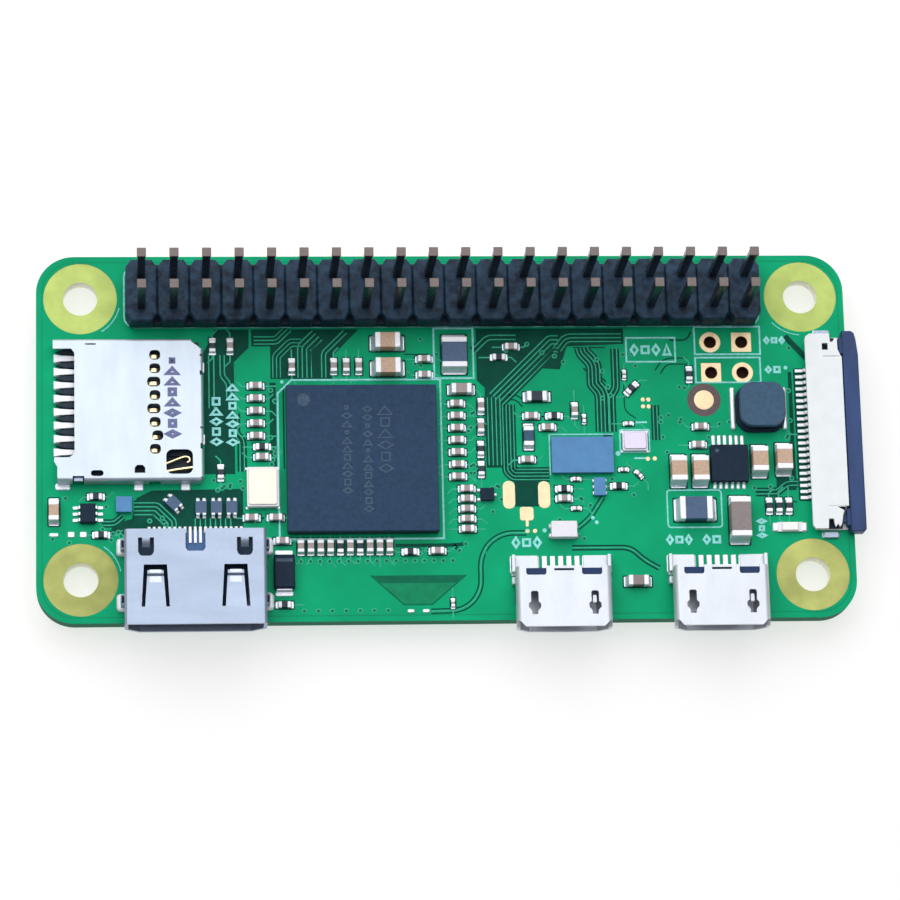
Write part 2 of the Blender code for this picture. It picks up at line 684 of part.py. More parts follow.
def build_usb_socket(name, x):
    port = {"x": x, "half_width": USB_HALF_WIDTH, "front": USB_FRONT_Y, "rear": USB_REAR_Y,
            "rise": USB_RISE, "keel": 0.95, "sheet": USB_SHEET}
    shell = build_socket_shell(name, port)
    roof = TOP + USB_RISE
    below, above = roof - 2 * USB_SHEET, roof + 1.0
    openings = bmesh.new()
    box(openings, (x - 0.78, x + 0.78), (-11.6, -11.42), (below, above))
    for sign in (-1, 1):
        centre = x + 2.22 * sign
        box(openings, (centre - 0.8, centre + 0.8), (-11.94, USB_REAR_Y + 1.0), (below, above))
        centre = x + 2.38 * sign
        box(openings, (centre - 0.46, centre + 0.46), (-14.8, -14.0), (below, above))
        box(openings, (centre - 0.28, centre + 0.28), (-13.9, -13.1), (below, above))
    cut(shell, openings, f"{name}_openings")
    flanges = bmesh.new()
    for sign in (-1, 1):
        inner = x + 1.8 * sign
        outer = x + 3.95 * sign
        ys = (USB_REAR_Y - 0.3, USB_FLANGE_REAR_Y)
        box(flanges, sorted((inner, outer)), ys, (SEAT, SEAT + USB_SHEET))
    join(shell, flanges, f"{name}_flanges")
    build_socket_insulator(name, port, 1.6, 1.75, (1.25, 1.8), 0.7)


# ---------------------------------------------------------------------------
# Camera connector
# ---------------------------------------------------------------------------

def build_camera_housing():
    """White body, open towards the board's edge for the flat cable and the latch."""
    x0, x1 = CAMERA_X
    half = CAMERA_HALF_LENGTH
    roof = TOP + CAMERA_RISE
    bm = bmesh.new()
    outline = [(x0 + 0.3, -half), (x1, -half), (x1, half),
               (x0 + 0.3, half), (x0, half - 0.3), (x0, 0.3 - half)]
    prism(bm, outline, SEAT, roof)
    housing = make_object("camera_connector_housing", bm, "housing_ivory")

    mouth = bmesh.new()
    box(mouth, (x0 + 0.9, x1 + 1.0), (-CAMERA_MOUTH_HALF, CAMERA_MOUTH_HALF), (TOP + 0.35, TOP + 0.97))
    for sign in (-1, 1):
        ys = sorted((sign * 6.75, sign * (half + 1.0)))
        box(mouth, (x1 - 1.1, x1 + 1.0), ys, (TOP + 0.35, TOP + 0.97))
    cut(housing, mouth, "camera_mouth")
    nicks = bmesh.new()
    for sign in (-1, 1):
        box(nicks, (30.5, 30.95), sorted((sign * 6.9, sign * 7.35)), (TOP + 1.02, roof + 1.0))
        box(nicks, (31.25, x1 + 1.0), sorted((sign * 7.6, sign * (half + 1.0))), (TOP - 1.0, roof + 1.0))
    cut(housing, nicks, "camera_nicks")


def build_camera_latch():
    """Black slider: a bar along the mouth, a wedge inside it and an arm at each end."""
    x0, x1 = LATCH_X
    half = LATCH_HALF_LENGTH
    bm = bmesh.new()
    outline = [(x0, -half), (x1 - 0.25, -half), (x1, 0.25 - half),
               (x1, half - 0.25), (x1 - 0.25, half), (x0, half)]
    prism(bm, outline, TOP + 0.12, TOP + 1.2)
    latch = make_object("camera_connector_latch", bm, "latch_black")
    inner = bmesh.new()
    wedge = [(x0 + 0.3, TOP + 0.66), (x0 + 0.3, TOP + 0.9), (30.4, TOP + 0.9),
             (30.2, TOP + 0.82), (30.2, TOP + 0.66)]
    prism(inner, wedge, 0.1 - CAMERA_MOUTH_HALF, CAMERA_MOUTH_HALF - 0.1, "y")
    for sign in (-1, 1):
        box(inner, (31.0, x0 + 0.3), sorted((sign * 6.85, sign * 7.5)), (TOP + 0.42, TOP + 0.9))
    join(latch, inner, "latch_inner")


def build_camera_tabs():
    """Soldered metal tabs that hold the housing down at both ends."""
    for name, sign in (("north", 1), ("south", -1)):
        end = CAMERA_HALF_LENGTH
        bm = bmesh.new()
        box(bm, (29.95, 31.15), sorted((sign * (end + FIT), sign * (end + 0.55))), (SEAT, SEAT + 0.25))
        make_object(f"camera_connector_tab_{name}", bm, "shell_tin")


def build_all():
    clear_scene()
    build_board()
    build_header_insulator()
    for row in HEADER_ROWS:
        build_header_pins(row)
    build_processor_stack()
    for name, x, y, size_x, size_y, rise, turn, material in PLAIN_CHIPS:
        build_chip(name, x, y, size_x, size_y, SEAT, TOP + rise, material, turn)
    for passive in CHIP_PASSIVES:
        build_chip_passive(*passive)
    build_power_inductor()
    build_crystals()
    build_diode()
    build_status_led()
    build_card_power_switch()
    build_card_shell()
    build_card_base()
    build_card_contacts()
    build_card_detect()
    build_video_socket()
    for name, x in USB_SOCKETS.items():
        build_usb_socket(name, x)
    build_camera_housing()
    build_camera_latch()
    build_camera_tabs()


build_all()
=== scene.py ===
"""Looks of the single board computer: its board, copper, parts, sockets, floor, light and camera.

Lengths are in millimetres in the part's own frame: X runs towards the camera connector, Y towards
the pin header and Z up, from the middle of the board's underside. Piece.done turns them into metres.
"""

import math
import random

import bmesh
import bpy
from mathutils import Matrix, Vector


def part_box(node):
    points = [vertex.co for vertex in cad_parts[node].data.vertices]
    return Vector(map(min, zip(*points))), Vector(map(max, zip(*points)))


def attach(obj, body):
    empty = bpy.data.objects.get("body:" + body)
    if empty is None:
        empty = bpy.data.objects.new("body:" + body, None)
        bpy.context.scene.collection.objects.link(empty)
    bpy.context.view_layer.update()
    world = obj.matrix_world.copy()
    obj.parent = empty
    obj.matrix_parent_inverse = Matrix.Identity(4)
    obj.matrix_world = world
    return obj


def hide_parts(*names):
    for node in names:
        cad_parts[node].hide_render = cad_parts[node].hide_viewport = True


MM = 0.001

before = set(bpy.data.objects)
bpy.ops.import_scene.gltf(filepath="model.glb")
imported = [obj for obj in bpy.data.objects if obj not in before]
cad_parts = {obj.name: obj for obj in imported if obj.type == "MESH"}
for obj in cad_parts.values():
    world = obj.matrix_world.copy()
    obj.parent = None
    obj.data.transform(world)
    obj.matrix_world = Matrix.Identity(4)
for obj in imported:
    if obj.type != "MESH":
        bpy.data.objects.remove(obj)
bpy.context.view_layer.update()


def span(node):
    """Low and high corner of a CAD node, in millimetres."""
    low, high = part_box(node)
    return low / MM, high / MM


def middle_of(low, high):
    """Middle of a box, seen from above."""
    return (low.x + high.x) / 2, (low.y + high.y) / 2


def evenly(middle, count, pitch):
    """Places along a row of pieces that is centred on its middle."""
    return [middle + pitch * (i - (count - 1) / 2) for i in range(count)]


def stand(at, turn=0.0):
    """Transform that stands a piece on a spot, turned about Z by an angle in degrees."""
    return Matrix.Translation(at) @ Matrix.Rotation(math.radians(turn), 4, "Z")


BOARD_HIGH = span("circuit_board")[1]
TOP = BOARD_HIGH.z
HALF_LENGTH = BOARD_HIGH.x
HALF_WIDTH = BOARD_HIGH.y
CORNER = 3.0
BOLT_X = HALF_LENGTH - 3.5
BOLT_Y = HALF_WIDTH - 3.5
BOLT_RADIUS = 1.375
RING_RADIUS = 2.93
MASK = 0.03

COLUMNS = 20
PITCH = 2.54
HEADER_Y = BOLT_Y
ROWS = {"front": HEADER_Y - PITCH / 2, "rear": HEADER_Y + PITCH / 2}
HEADER_COLUMNS = evenly(0.0, COLUMNS, PITCH)
LINK_HOLES = ((21.5, 7.7, False), (24.04, 7.7, True), (21.5, 5.16, True), (24.04, 5.16, False))
SIGHTING_MARK = (20.83, 2.9)

# Whatever lies on the board starts at this level, just inside it
ROOT = TOP - 0.01

# Heights above the board of what is printed or plated on it
GAP_RISE = 0.008
TRACK_RISE = 0.022
SILK_RISE = 0.032
PAD_RISE = 0.028


# ---------------------------------------------------------------------------
# Materials
# ---------------------------------------------------------------------------

def srgb(red, green, blue):
    """Linear colour from the 0 to 255 values of a display."""
    channels = []
    for value in (red, green, blue):
        value /= 255
        channels.append(value / 12.92 if value <= 0.04045 else ((value + 0.055) / 1.055) ** 2.4)
    return channels


class Finish:
    """A procedural material: mottled display colour, uneven gloss and a fine bump."""

    def __init__(self, name, colour, roughness, metallic=0.0, mottle=0.08, patch=0.8, uneven=0.06,
                 bump=0.15, grain=0.05, stretch=(1, 1, 1), specular=0.5, coat=0.0):
        colour = srgb(*colour)
        self.material = bpy.data.materials.new(name)
        self.material.use_nodes = True
        self.nodes = self.material.node_tree.nodes
        self.links = self.material.node_tree.links
        self.shader = self.nodes["Principled BSDF"]
        self.shader.inputs["Metallic"].default_value = metallic
        self.shader.inputs["Specular IOR Level"].default_value = specular
        self.shader.inputs["Coat Weight"].default_value = coat
        self.shader.inputs["Coat Roughness"].default_value = 0.12
        place = self.nodes.new("ShaderNodeTexCoord")
        self.mapping = self.nodes.new("ShaderNodeMapping")
        self.mapping.inputs["Scale"].default_value = stretch
        self.links.new(place.outputs["Object"], self.mapping.inputs["Vector"])

        broad = self.noise(patch, 3.0)
        self.mix = self.nodes.new("ShaderNodeMix")
        self.mix.data_type = "RGBA"
        self.mix.inputs["A"].default_value = (*[value * (1 - mottle) for value in colour], 1.0)
        self.mix.inputs["B"].default_value = (*[min(value * (1 + mottle), 1.0) for value in colour], 1.0)
        self.links.new(self.spread(broad, 0.0, 1.0), self.mix.inputs["Factor"])
        self.links.new(self.mix.outputs["Result"], self.shader.inputs["Base Color"])

        fine = self.noise(grain, 2.0)
        gloss = self.spread(fine, max(roughness - uneven, 0.02), min(roughness + uneven, 1.0))
        self.links.new(gloss, self.shader.inputs["Roughness"])
        relief = self.nodes.new("ShaderNodeBump")
        relief.inputs["Strength"].default_value = bump
        relief.inputs["Distance"].default_value = 0.02 * MM
        self.links.new(fine, relief.inputs["Height"])
        self.links.new(relief.outputs["Normal"], self.shader.inputs["Normal"])

    def noise(self, size, detail):
        """Noise whose patches are about this many millimetres across."""
        texture = self.nodes.new("ShaderNodeTexNoise")
        texture.inputs["Scale"].default_value = 1 / (size * MM)
        texture.inputs["Detail"].default_value = detail
        self.links.new(self.mapping.outputs["Vector"], texture.inputs["Vector"])
        return texture.outputs["Fac"]

    def spread(self, value, low, high):
        """Stretch the middle of a noise over the range from low to high."""
        scale = self.nodes.new("ShaderNodeMapRange")
        scale.inputs["From Min"].default_value = 0.3
        scale.inputs["From Max"].default_value = 0.7
        scale.inputs["To Min"].default_value = low
        scale.inputs["To Max"].default_value = high
        self.links.new(value, scale.inputs["Value"])
        return scale.outputs["Result"]


MASK_LIT = Finish("mask_over_copper", (2, 162, 112), 0.36, mottle=0.13, patch=4.5, bump=0.12,
                  grain=0.18, specular=0.06)
# Lacquer over bare laminate; the same finish also paints shade in some patches and round the parts
MASK_DARK = Finish("mask_over_laminate_and_painted_shade", (0, 74, 60), 0.4, mottle=0.14, patch=0.9, bump=0.2,
                   grain=0.12, specular=0.06)
MASK_SUNK = Finish("mask_over_bare_core", (6, 134, 90), 0.42, mottle=0.12, patch=0.7, bump=0.3,
                   grain=0.16, specular=0.1)
MASK_TRACK = Finish("mask_over_track", (34, 172, 132), 0.28, mottle=0.16, patch=0.6, specular=0.25)
MASK_HOLES_AND_SHADE = Finish("mask_over_holes_and_painted_shade", (2, 106, 76), 0.42, mottle=0.12, patch=0.7, bump=0.3,
                    grain=0.16, specular=0.08)
LAMINATE = Finish("bare_laminate", (193, 211, 118), 0.55, mottle=0.13, patch=1.8, bump=0.35,
                  grain=0.22, specular=0.1)
LAMINATE_WARM = Finish("warm_laminate", (186, 190, 112), 0.55, mottle=0.24, patch=3.0, bump=0.35,
                       grain=0.22, specular=0.1)
DRILLED = Finish("drilled_wall", (244, 242, 226), 0.6, mottle=0.06, patch=0.3, bump=0.4, specular=0.1)
EDGE = Finish("routed_edge", (10, 108, 76), 0.6, mottle=0.25, patch=0.25, bump=0.6, grain=0.1,
              stretch=(1, 1, 6), specular=0.1)
GOLD = Finish("plated_pad", (236, 210, 168), 0.4, 0.4, mottle=0.07, patch=0.4, bump=0.2)
# Painted shade: the dark disc that stands for the depth of the link holes
PAINTED_HOLE_SHADE = Finish("painted_hole_shade", (52, 34, 26), 0.8, mottle=0.2, patch=0.2, specular=0.05)
BORE = Finish("plated_bore", (96, 62, 46), 0.45, 0.7, mottle=0.2, patch=0.2, bump=0.3)
BARE_CORE = Finish("bare_core_ring", (88, 70, 72), 0.5, mottle=0.14, patch=0.3, bump=0.3)
SILK = Finish("printed_legend", (150, 226, 224), 0.6, mottle=0.16, patch=0.3, bump=0.3, specular=0.2)
SOLDER = Finish("solder", (226, 230, 240), 0.34, 0.5, patch=0.3, bump=0.35, grain=0.14)
TINNED = Finish("tinned_terminal", (238, 238, 244), 0.45, 0.2, mottle=0.05, patch=0.2, bump=0.3,
                grain=0.06)
SHEET = Finish("tinned_sheet", (190, 200, 212), 0.4, 0.6, mottle=0.05, patch=1.4, uneven=0.05,
               bump=0.05, grain=0.1, stretch=(1, 0.35, 1))
# Bright plating of the micro sockets' shells, also used for painted highlight strips on the video socket's
# fingers
BRIGHT_SHEET_AND_HIGHLIGHT = Finish("bright_sheet_and_painted_highlight", (206, 211, 218), 0.42, 0.5, mottle=0.04, patch=1.4, uneven=0.05,
                      bump=0.05, grain=0.1, stretch=(1, 0.35, 1))
SHEET_COOL = Finish("nickel_sheet", (150, 162, 182), 0.36, 0.7, mottle=0.07, patch=1.6,
                    bump=0.06, grain=0.1, stretch=(0.35, 1, 1))
PIN = Finish("pin_tip", (104, 94, 92), 0.4, 0.5, patch=0.5, bump=0.1)
# Painted shade and reflection: the pins are one plated metal, given a much darker colour on their shafts
# than on their tips
SHADED_PIN_SHAFT = Finish("pin_shaft_painted_shade", (40, 46, 50), 0.24, 0.9, mottle=0.2, patch=0.4, bump=0.1)
CONTACT = Finish("contact_plating", (244, 222, 172), 0.25, 0.9, mottle=0.06, patch=0.4, bump=0.1)
# Painted sheen: the moulding is black, and its blue-grey colour and strong mottle stand for the sky's
# reflection on its glossy cells
HEADER = Finish("header_moulding_painted_sheen", (36, 56, 76), 0.45, mottle=0.6, patch=0.6, uneven=0.14, bump=0.4,
                grain=0.16, specular=0.15)
MOULD = Finish("epoxy_moulding", (28, 44, 62), 0.6, mottle=0.14, patch=0.4, bump=0.5,
               specular=0.12)
MEMORY = Finish("memory_moulding", (45, 68, 95), 0.62, mottle=0.13, patch=0.35, bump=0.5, grain=0.06,
                specular=0.12)
ENGRAVED = Finish("laser_mark", (74, 92, 112), 0.7, mottle=0.25, patch=0.2, specular=0.1)
SUBSTRATE = Finish("package_substrate", (16, 72, 54), 0.5, mottle=0.12, patch=0.4, specular=0.2)
WAFER = Finish("coated_silicon", (78, 131, 180), 0.32, 0.1, mottle=0.07, patch=0.9,
               grain=0.12, specular=0.25)
# Dark moulding of the card socket and the detect switch, also used for painted shade in the header and in
# the camera housing
SOCKET_AND_SHADE = Finish("socket_moulding_and_painted_shade", (26, 42, 58), 0.5, mottle=0.15, patch=0.3, bump=0.4, grain=0.06,
                specular=0.25)
INSULATOR = Finish("insulator_moulding", (70, 102, 146), 0.55, mottle=0.1, patch=0.4, bump=0.3,
                   specular=0.2)
INSULATOR_DARK = Finish("dark_insulator", (40, 60, 98), 0.55, mottle=0.1, patch=0.4, bump=0.3,
                        specular=0.15)
IVORY = Finish("ivory_moulding", (236, 240, 242), 0.45, mottle=0.03, patch=1.2, bump=0.25, grain=0.08,
               specular=0.3)
LATCH = Finish("latch_moulding", (37, 62, 108), 0.38, mottle=0.3, patch=1.4, uneven=0.1, bump=0.3,
               grain=0.08, stretch=(1, 0.2, 1), specular=0.25)
TAN = Finish("ceramic_tan", (196, 164, 140), 0.5, mottle=0.12, patch=0.2, bump=0.4)
TAUPE = Finish("ceramic_taupe", (136, 124, 124), 0.5, mottle=0.1, patch=0.2, bump=0.4)
BUFF = Finish("ceramic_buff", (160, 146, 146), 0.5, mottle=0.16, patch=0.14, bump=0.4)
SLATE = Finish("ferrite_slate", (58, 88, 122), 0.5, mottle=0.12, patch=0.25, bump=0.4)
DRUM = Finish("ferrite_drum", (50, 84, 112), 0.5, mottle=0.16, patch=0.4, bump=0.5, grain=0.06,
              specular=0.3)
RESISTOR = Finish("resistor_glaze", (28, 42, 60), 0.35, mottle=0.15, patch=0.2, bump=0.2, specular=0.3)
PORCELAIN = Finish("white_ceramic", (236, 232, 240), 0.4, mottle=0.03, patch=0.3, bump=0.2)
LID = Finish("crystal_lid", (206, 196, 220), 0.35, 0.4, mottle=0.03, patch=0.5, bump=0.12)
CAP = Finish("cap_plating", (232, 226, 212), 0.4, 0.3, mottle=0.05, patch=0.5, bump=0.12)
LENS = Finish("diode_lens", (244, 242, 240), 0.3, mottle=0.03, patch=0.3, coat=0.3)
COPPER = Finish("enamelled_wire", (130, 74, 44), 0.3, 0.9, mottle=0.12, patch=0.2)
INKED = Finish("inked_mark", (112, 116, 158), 0.5, mottle=0.3, patch=0.12, specular=0.2)
PAPER = Finish("studio_floor", (172, 168, 168), 0.7, mottle=0.01, patch=40.0, bump=0.0, grain=1.0,
               specular=0.05)


# ---------------------------------------------------------------------------
# Outlines
# ---------------------------------------------------------------------------

def circle(x, y, radius, sides=24):
    step = 2 * math.pi / sides
    return [(x + radius * math.cos(step * i), y + radius * math.sin(step * i)) for i in range(sides)]


def rectangle(x0, x1, y0, y1, radius=0.0, steps=4):
    """Outline of a rectangle, its corners rounded when a radius is given."""
    if radius <= 0:
        return [(x0, y0), (x1, y0), (x1, y1), (x0, y1)]
    points = []
    for x, y, start in ((x1 - radius, y0 + radius, 270), (x1 - radius, y1 - radius, 0),
                        (x0 + radius, y1 - radius, 90), (x0 + radius, y0 + radius, 180)):
        for i in range(steps + 1):
            angle = math.radians(start + 90 * i / steps)
            points.append((x + radius * math.cos(angle), y + radius * math.sin(angle)))
    return points


def block(half_x, half_y, radius=0.0, steps=3):
    """Outline of a rectangle about the origin."""
    return rectangle(-half_x, half_x, -half_y, half_y, radius, steps)


def offset(points, distance, closed=True):
    """Move a line of points sideways, to its left, with mitred corners."""
    moved = []
    count = len(points)
    for i, (x, y) in enumerate(points):
        before = points[i - 1] if closed or i > 0 else None
        after = points[(i + 1) % count] if closed or i < count - 1 else None
        sides = []
        for start, end in ((before, (x, y)), ((x, y), after)):
            if start is None or end is None:
                continue
            run = math.hypot(end[0] - start[0], end[1] - start[1])
            if run > 1e-9:
                sides.append(((start[1] - end[1]) / run, (end[0] - start[0]) / run))
        across_x = sum(side[0] for side in sides) / len(sides)
        across_y = sum(side[1] for side in sides) / len(sides)
        shrink = max(across_x ** 2 + across_y ** 2, 0.2)
        moved.append((x + across_x / shrink * distance, y + across_y / shrink * distance))
    if closed and distance > 0:
        gather_crossed(points, moved)
    return moved


def gather_crossed(points, moved):
    """Bring each run of corners that crossed over while moving together at its middle."""
    count = len(points)
    crossed = []
    for i in range(count):
        j = (i + 1) % count
        was = (points[j][0] - points[i][0], points[j][1] - points[i][1])
        now = (moved[j][0] - moved[i][0], moved[j][1] - moved[i][1])
        crossed.append(was[0] * now[0] + was[1] * now[1] < 0)
    if all(crossed):
        return
    first = crossed.index(False) + 1
    run = []
    for step in range(count):
        i = (first + step) % count
        run.append(i)
        if not crossed[i]:
            if len(run) > 1:
                middle = (sum(moved[k][0] for k in run) / len(run),
                          sum(moved[k][1] for k in run) / len(run))
                for turn, k in enumerate(run):
                    nudge = 0.002 * (turn / (len(run) - 1) - 0.5)
                    ahead = moved[(run[-1] + 1) % count]
                    back = moved[run[0] - 1]
                    moved[k] = (middle[0] + nudge * (ahead[0] - back[0]),
                                middle[1] + nudge * (ahead[1] - back[1]))
            run = []


def arc(x, y, radius, start, end, steps=12):
    """Points along part of a circle, between two angles in degrees."""
    points = []
    for i in range(steps + 1):
        angle = math.radians(start + (end - start) * i / steps)
        points.append((x + radius * math.cos(angle), y + radius * math.sin(angle)))
    return points


# ---------------------------------------------------------------------------
# Pieces
# ---------------------------------------------------------------------------

class Piece:
    """One visible piece while its mesh is put together."""

    def __init__(self, finish, at=(0.0, 0.0, 0.0), turn=0.0):
        self.bm = bmesh.new()
        self.finishes = []
        self.place = stand(at, turn)
        self.use(finish)

    def use(self, finish):
        """Give this finish to the faces that follow."""
        if finish not in self.finishes:
            self.finishes.append(finish)
        self.slot = self.finishes.index(finish)
        return self

    def vert(self, point):
        return self.bm.verts.new(self.place @ Vector(point))

    def face(self, verts):
        face = self.bm.faces.new(verts)
        face.material_index = self.slot
        return face

    def loft(self, rings, capped=True):
        """A closed body through rings of points that have the same count."""
        rows = [[self.vert(point) for point in ring] for ring in rings]
        count = len(rows[0])
        for lower, upper in zip(rows, rows[1:]):
            for i in range(count):
                j = (i + 1) % count
                self.face((lower[i], lower[j], upper[j], upper[i]))
        if capped:
            self.face(rows[0])
            self.face(rows[-1])
        else:
            for i in range(count):
                j = (i + 1) % count
                self.face((rows[-1][i], rows[-1][j], rows[0][j], rows[0][i]))
        return self

    def slab(self, outline, low, high, round_top=0.0, round_low=0.0, steps=3):
        """A block that stands on an outline, with its upper and lower edges rounded."""
        levels = []
        if round_low > 0:
            for i in range(steps):
                angle = math.pi / 2 * i / steps
                levels.append((low + round_low * (1 - math.cos(angle)), round_low * (1 - math.sin(angle))))
            levels.append((low + round_low, 0.0))
        else:
            levels.append((low, 0.0))
        if round_top > 0:
            levels.append((high - round_top, 0.0))
            for i in range(1, steps + 1):
                angle = math.pi / 2 * i / steps
                levels.append((high - round_top * (1 - math.sin(angle)),
                               round_top * (1 - math.cos(angle))))
            levels.append((high, round_top + min(0.015, round_top * 0.4)))
        else:
            levels.append((high, 0.0))
        rings = []
        for level, depth in levels:
            rings.append([(x, y, level) for x, y in offset(outline, depth)])
        return self.loft(rings)

    def box(self, x0, x1, y0, y1, low, high, radius=0.0, edge=0.0, steps=3, turns=4):
        """A slab on a rectangle whose sides come in either order, with rounded corners and top."""
        outline = rectangle(min(x0, x1), max(x0, x1), min(y0, y1), max(y0, y1), radius, turns)
        return self.slab(outline, low, high, edge, steps=steps)

    def pad(self, x0, x1, y0, y1, rise, radius=0.0, edge=0.0, steps=3, turns=4):
        """A box that stands on the board, such as a spot of solder."""
        return self.box(x0, x1, y0, y1, TOP, TOP + rise, radius, edge, steps, turns)

    def prism(self, outline, low, high, along="x", edge=0.0):
        """Push an outline of (across, up) points along an axis, its ends slightly broken."""
        def point(across, up, run):
            return (run, across, up) if along == "x" else (across, run, up)

        sections = [(low, edge), (low + edge, 0.0), (high - edge, 0.0), (high, edge)]
        if edge <= 0:
            sections = [(low, 0.0), (high, 0.0)]
        turn = 1 if area(outline) > 0 else -1
        rings = []
        for run, depth in sections:
            rings.append([point(u, v, run) for u, v in offset(outline, turn * depth)])
        return self.loft(rings)

    def stack(self, x, y, levels, radius):
        """A body about a vertical line through rectangles, each a height and two half widths."""
        rings = []
        for z, half_x, half_y in levels:
            rings.append([(x + u, y + v, z) for u, v in block(half_x, half_y, radius, 2)])
        return self.loft(rings)

    def tube(self, x, y, inner, outer, low, high, sides=24, edge=0.0):
        """A ring about a vertical line."""
        section = [(inner, low), (outer, low), (outer, high - edge), (outer - edge, high), (inner, high)]
        rings = []
        for i in range(sides):
            angle = 2 * math.pi * i / sides
            rings.append([(x + r * math.cos(angle), y + r * math.sin(angle), z) for r, z in section])
        return self.loft(rings, capped=False)

    def turned(self, x, y, section, sides=20):
        """A solid of revolution from (radius, height) points, the first and last near the middle."""
        rings = []
        for radius, height in section:
            rings.append([(px, py, height) for px, py in circle(x, y, radius, sides)])
        return self.loft(rings)

    def dot(self, x, y, radius, crown, rise, sides=14):
        """A low round spot on the board that narrows to its crown."""
        return self.turned(x, y, [(radius, ROOT), (radius, TOP + 0.02), (crown, TOP + rise)], sides)

    def ribbon(self, points, width, high, low=None, closed=False, edge=0.03):
        """A flat strip along a line of points, such as a track or a printed line."""
        low = ROOT if low is None else low
        half = width / 2
        edge = min(edge, half * 0.6)
        rails = [offset(points, side, closed) for side in (half, half - edge, edge - half, -half)]
        heights = (low, high, high, low)
        rings = []
        for i in range(len(points)):
            rings.append([(rail[i][0], rail[i][1], z) for rail, z in zip(rails, heights)])
        return self.loft(rings, capped=not closed)

    def fill(self, loops, level):
        """Flat faces at one height between an outline and its holes. Gives the loops' corners."""
        rows = []
        edges = []
        for loop in loops:
            row = [self.vert((x, y, level)) for x, y in loop]
            edges += [self.bm.edges.new((row[i - 1], row[i])) for i in range(len(row))]
            rows.append(row)
        made = bmesh.ops.triangle_fill(self.bm, use_beauty=True, use_dissolve=False, edges=edges)
        for item in made["geom"]:
            if isinstance(item, bmesh.types.BMFace):
                item.material_index = self.slot
        return rows

    def plate(self, outline, holes, low, high, rim=None, bores=None):
        """A flat sheet with holes, with finishes of their own for its rim and its holes' walls."""
        loops = [outline] + holes
        lower = self.fill(loops, low)
        upper = self.fill(loops, high)
        body = self.slot
        for number, (below, above) in enumerate(zip(lower, upper)):
            wall = rim if number == 0 else (bores[number - 1] if bores else None)
            if wall:
                self.use(wall)
            for i in range(len(below)):
                self.face((below[i - 1], below[i], above[i], above[i - 1]))
            self.slot = body
        return self

    def done(self, name, slot, body="board", replaces=(), sharp=32, bevel=0.0):
        """Make the object, in metres, and tie it to its CAD body."""
        bmesh.ops.recalc_face_normals(self.bm, faces=self.bm.faces)
        bmesh.ops.scale(self.bm, vec=(MM, MM, MM), verts=self.bm.verts)
        mesh = bpy.data.meshes.new(name)
        self.bm.to_mesh(mesh)
        self.bm.free()
        for finish in self.finishes:
            mesh.materials.append(finish.material)
        mesh.shade_smooth()
        mesh.set_sharp_from_angle(angle=math.radians(sharp))
        thing = bpy.data.objects.new(name, mesh)
        bpy.context.scene.collection.objects.link(thing)
        if bevel > 0:
            modifier = thing.modifiers.new("edges", "BEVEL")
            modifier.width = bevel * MM
            modifier.segments = 2
            modifier.limit_method = "ANGLE"
            modifier.angle_limit = math.radians(40)
        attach(thing, body)
        if replaces:
            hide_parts(*replaces)
        return thing


def area(outline):
    """Signed area of an outline, above zero when it runs anticlockwise."""
    total = 0.0
    for (x0, y0), (x1, y1) in zip(outline, outline[1:] + outline[:1]):
        total += x0 * y1 - x1 * y0
    return total / 2


# ---------------------------------------------------------------------------
# Board
# ---------------------------------------------------------------------------

def corners(x, y):
    return [(sign_x * x, sign_y * y) for sign_x in (-1, 1) for sign_y in (-1, 1)]


def build_board():
    """Laminate core between two lacquered faces that leave a bare ring round each bolt hole."""
    outline = rectangle(-HALF_LENGTH, HALF_LENGTH, -HALF_WIDTH, HALF_WIDTH, CORNER, 12)
    pins = [circle(x, y, 0.52, 16) for y in ROWS.values() for x in HEADER_COLUMNS]
    pins += [circle(x, y, 0.5, 20) for x, y, _ in LINK_HOLES]
    bolts = [circle(x, y, BOLT_RADIUS, 40) for x, y in corners(BOLT_X, BOLT_Y)]
    core = Piece(LAMINATE)
    core.plate(outline, bolts + pins, MASK, TOP - MASK, EDGE, [DRILLED] * 4 + [BORE] * len(pins))
    core.use(LAMINATE_WARM)
    for x in (-BOLT_X, BOLT_X):
        core.tube(x, -BOLT_Y, BOLT_RADIUS + 0.01, RING_RADIUS - 0.01, TOP - MASK - 0.01,
                  TOP - MASK + 0.006, 64)
    core.done("board_core", "solder_mask", replaces=["circuit_board"])

    rings = [circle(x, y, RING_RADIUS, 64) for x, y in corners(BOLT_X, BOLT_Y)]
    for name, low, high in (("board_mask_top", TOP - MASK, TOP), ("board_mask_underside", 0.0, MASK)):
        mask = Piece(MASK_LIT)
        mask.plate(outline, rings + pins, low, high, EDGE, [MASK_DARK] * 4 + [BORE] * len(pins))
        mask.done(name, "solder_mask")


def swept(start, corner, end, t):
    """A spot on the curve that leaves start towards a corner and arrives at end."""
    return tuple((1 - t) ** 2 * start + 2 * t * (1 - t) * corner + t ** 2 * end)


def rounded_path(points, radius, steps=5):
    """A line of points with its inner corners swept round."""
    smooth = [points[0]]
    for before, corner, after in zip(points, points[1:], points[2:]):
        enter = Vector(before) - Vector(corner)
        leave = Vector(after) - Vector(corner)
        reach = min(radius, enter.length / 2, leave.length / 2)
        start = Vector(corner) + enter.normalized() * reach
        end = Vector(corner) + leave.normalized() * reach
        for i in range(steps + 1):
            smooth.append(swept(start, Vector(corner), end, i / steps))
    return smooth + [points[-1]]
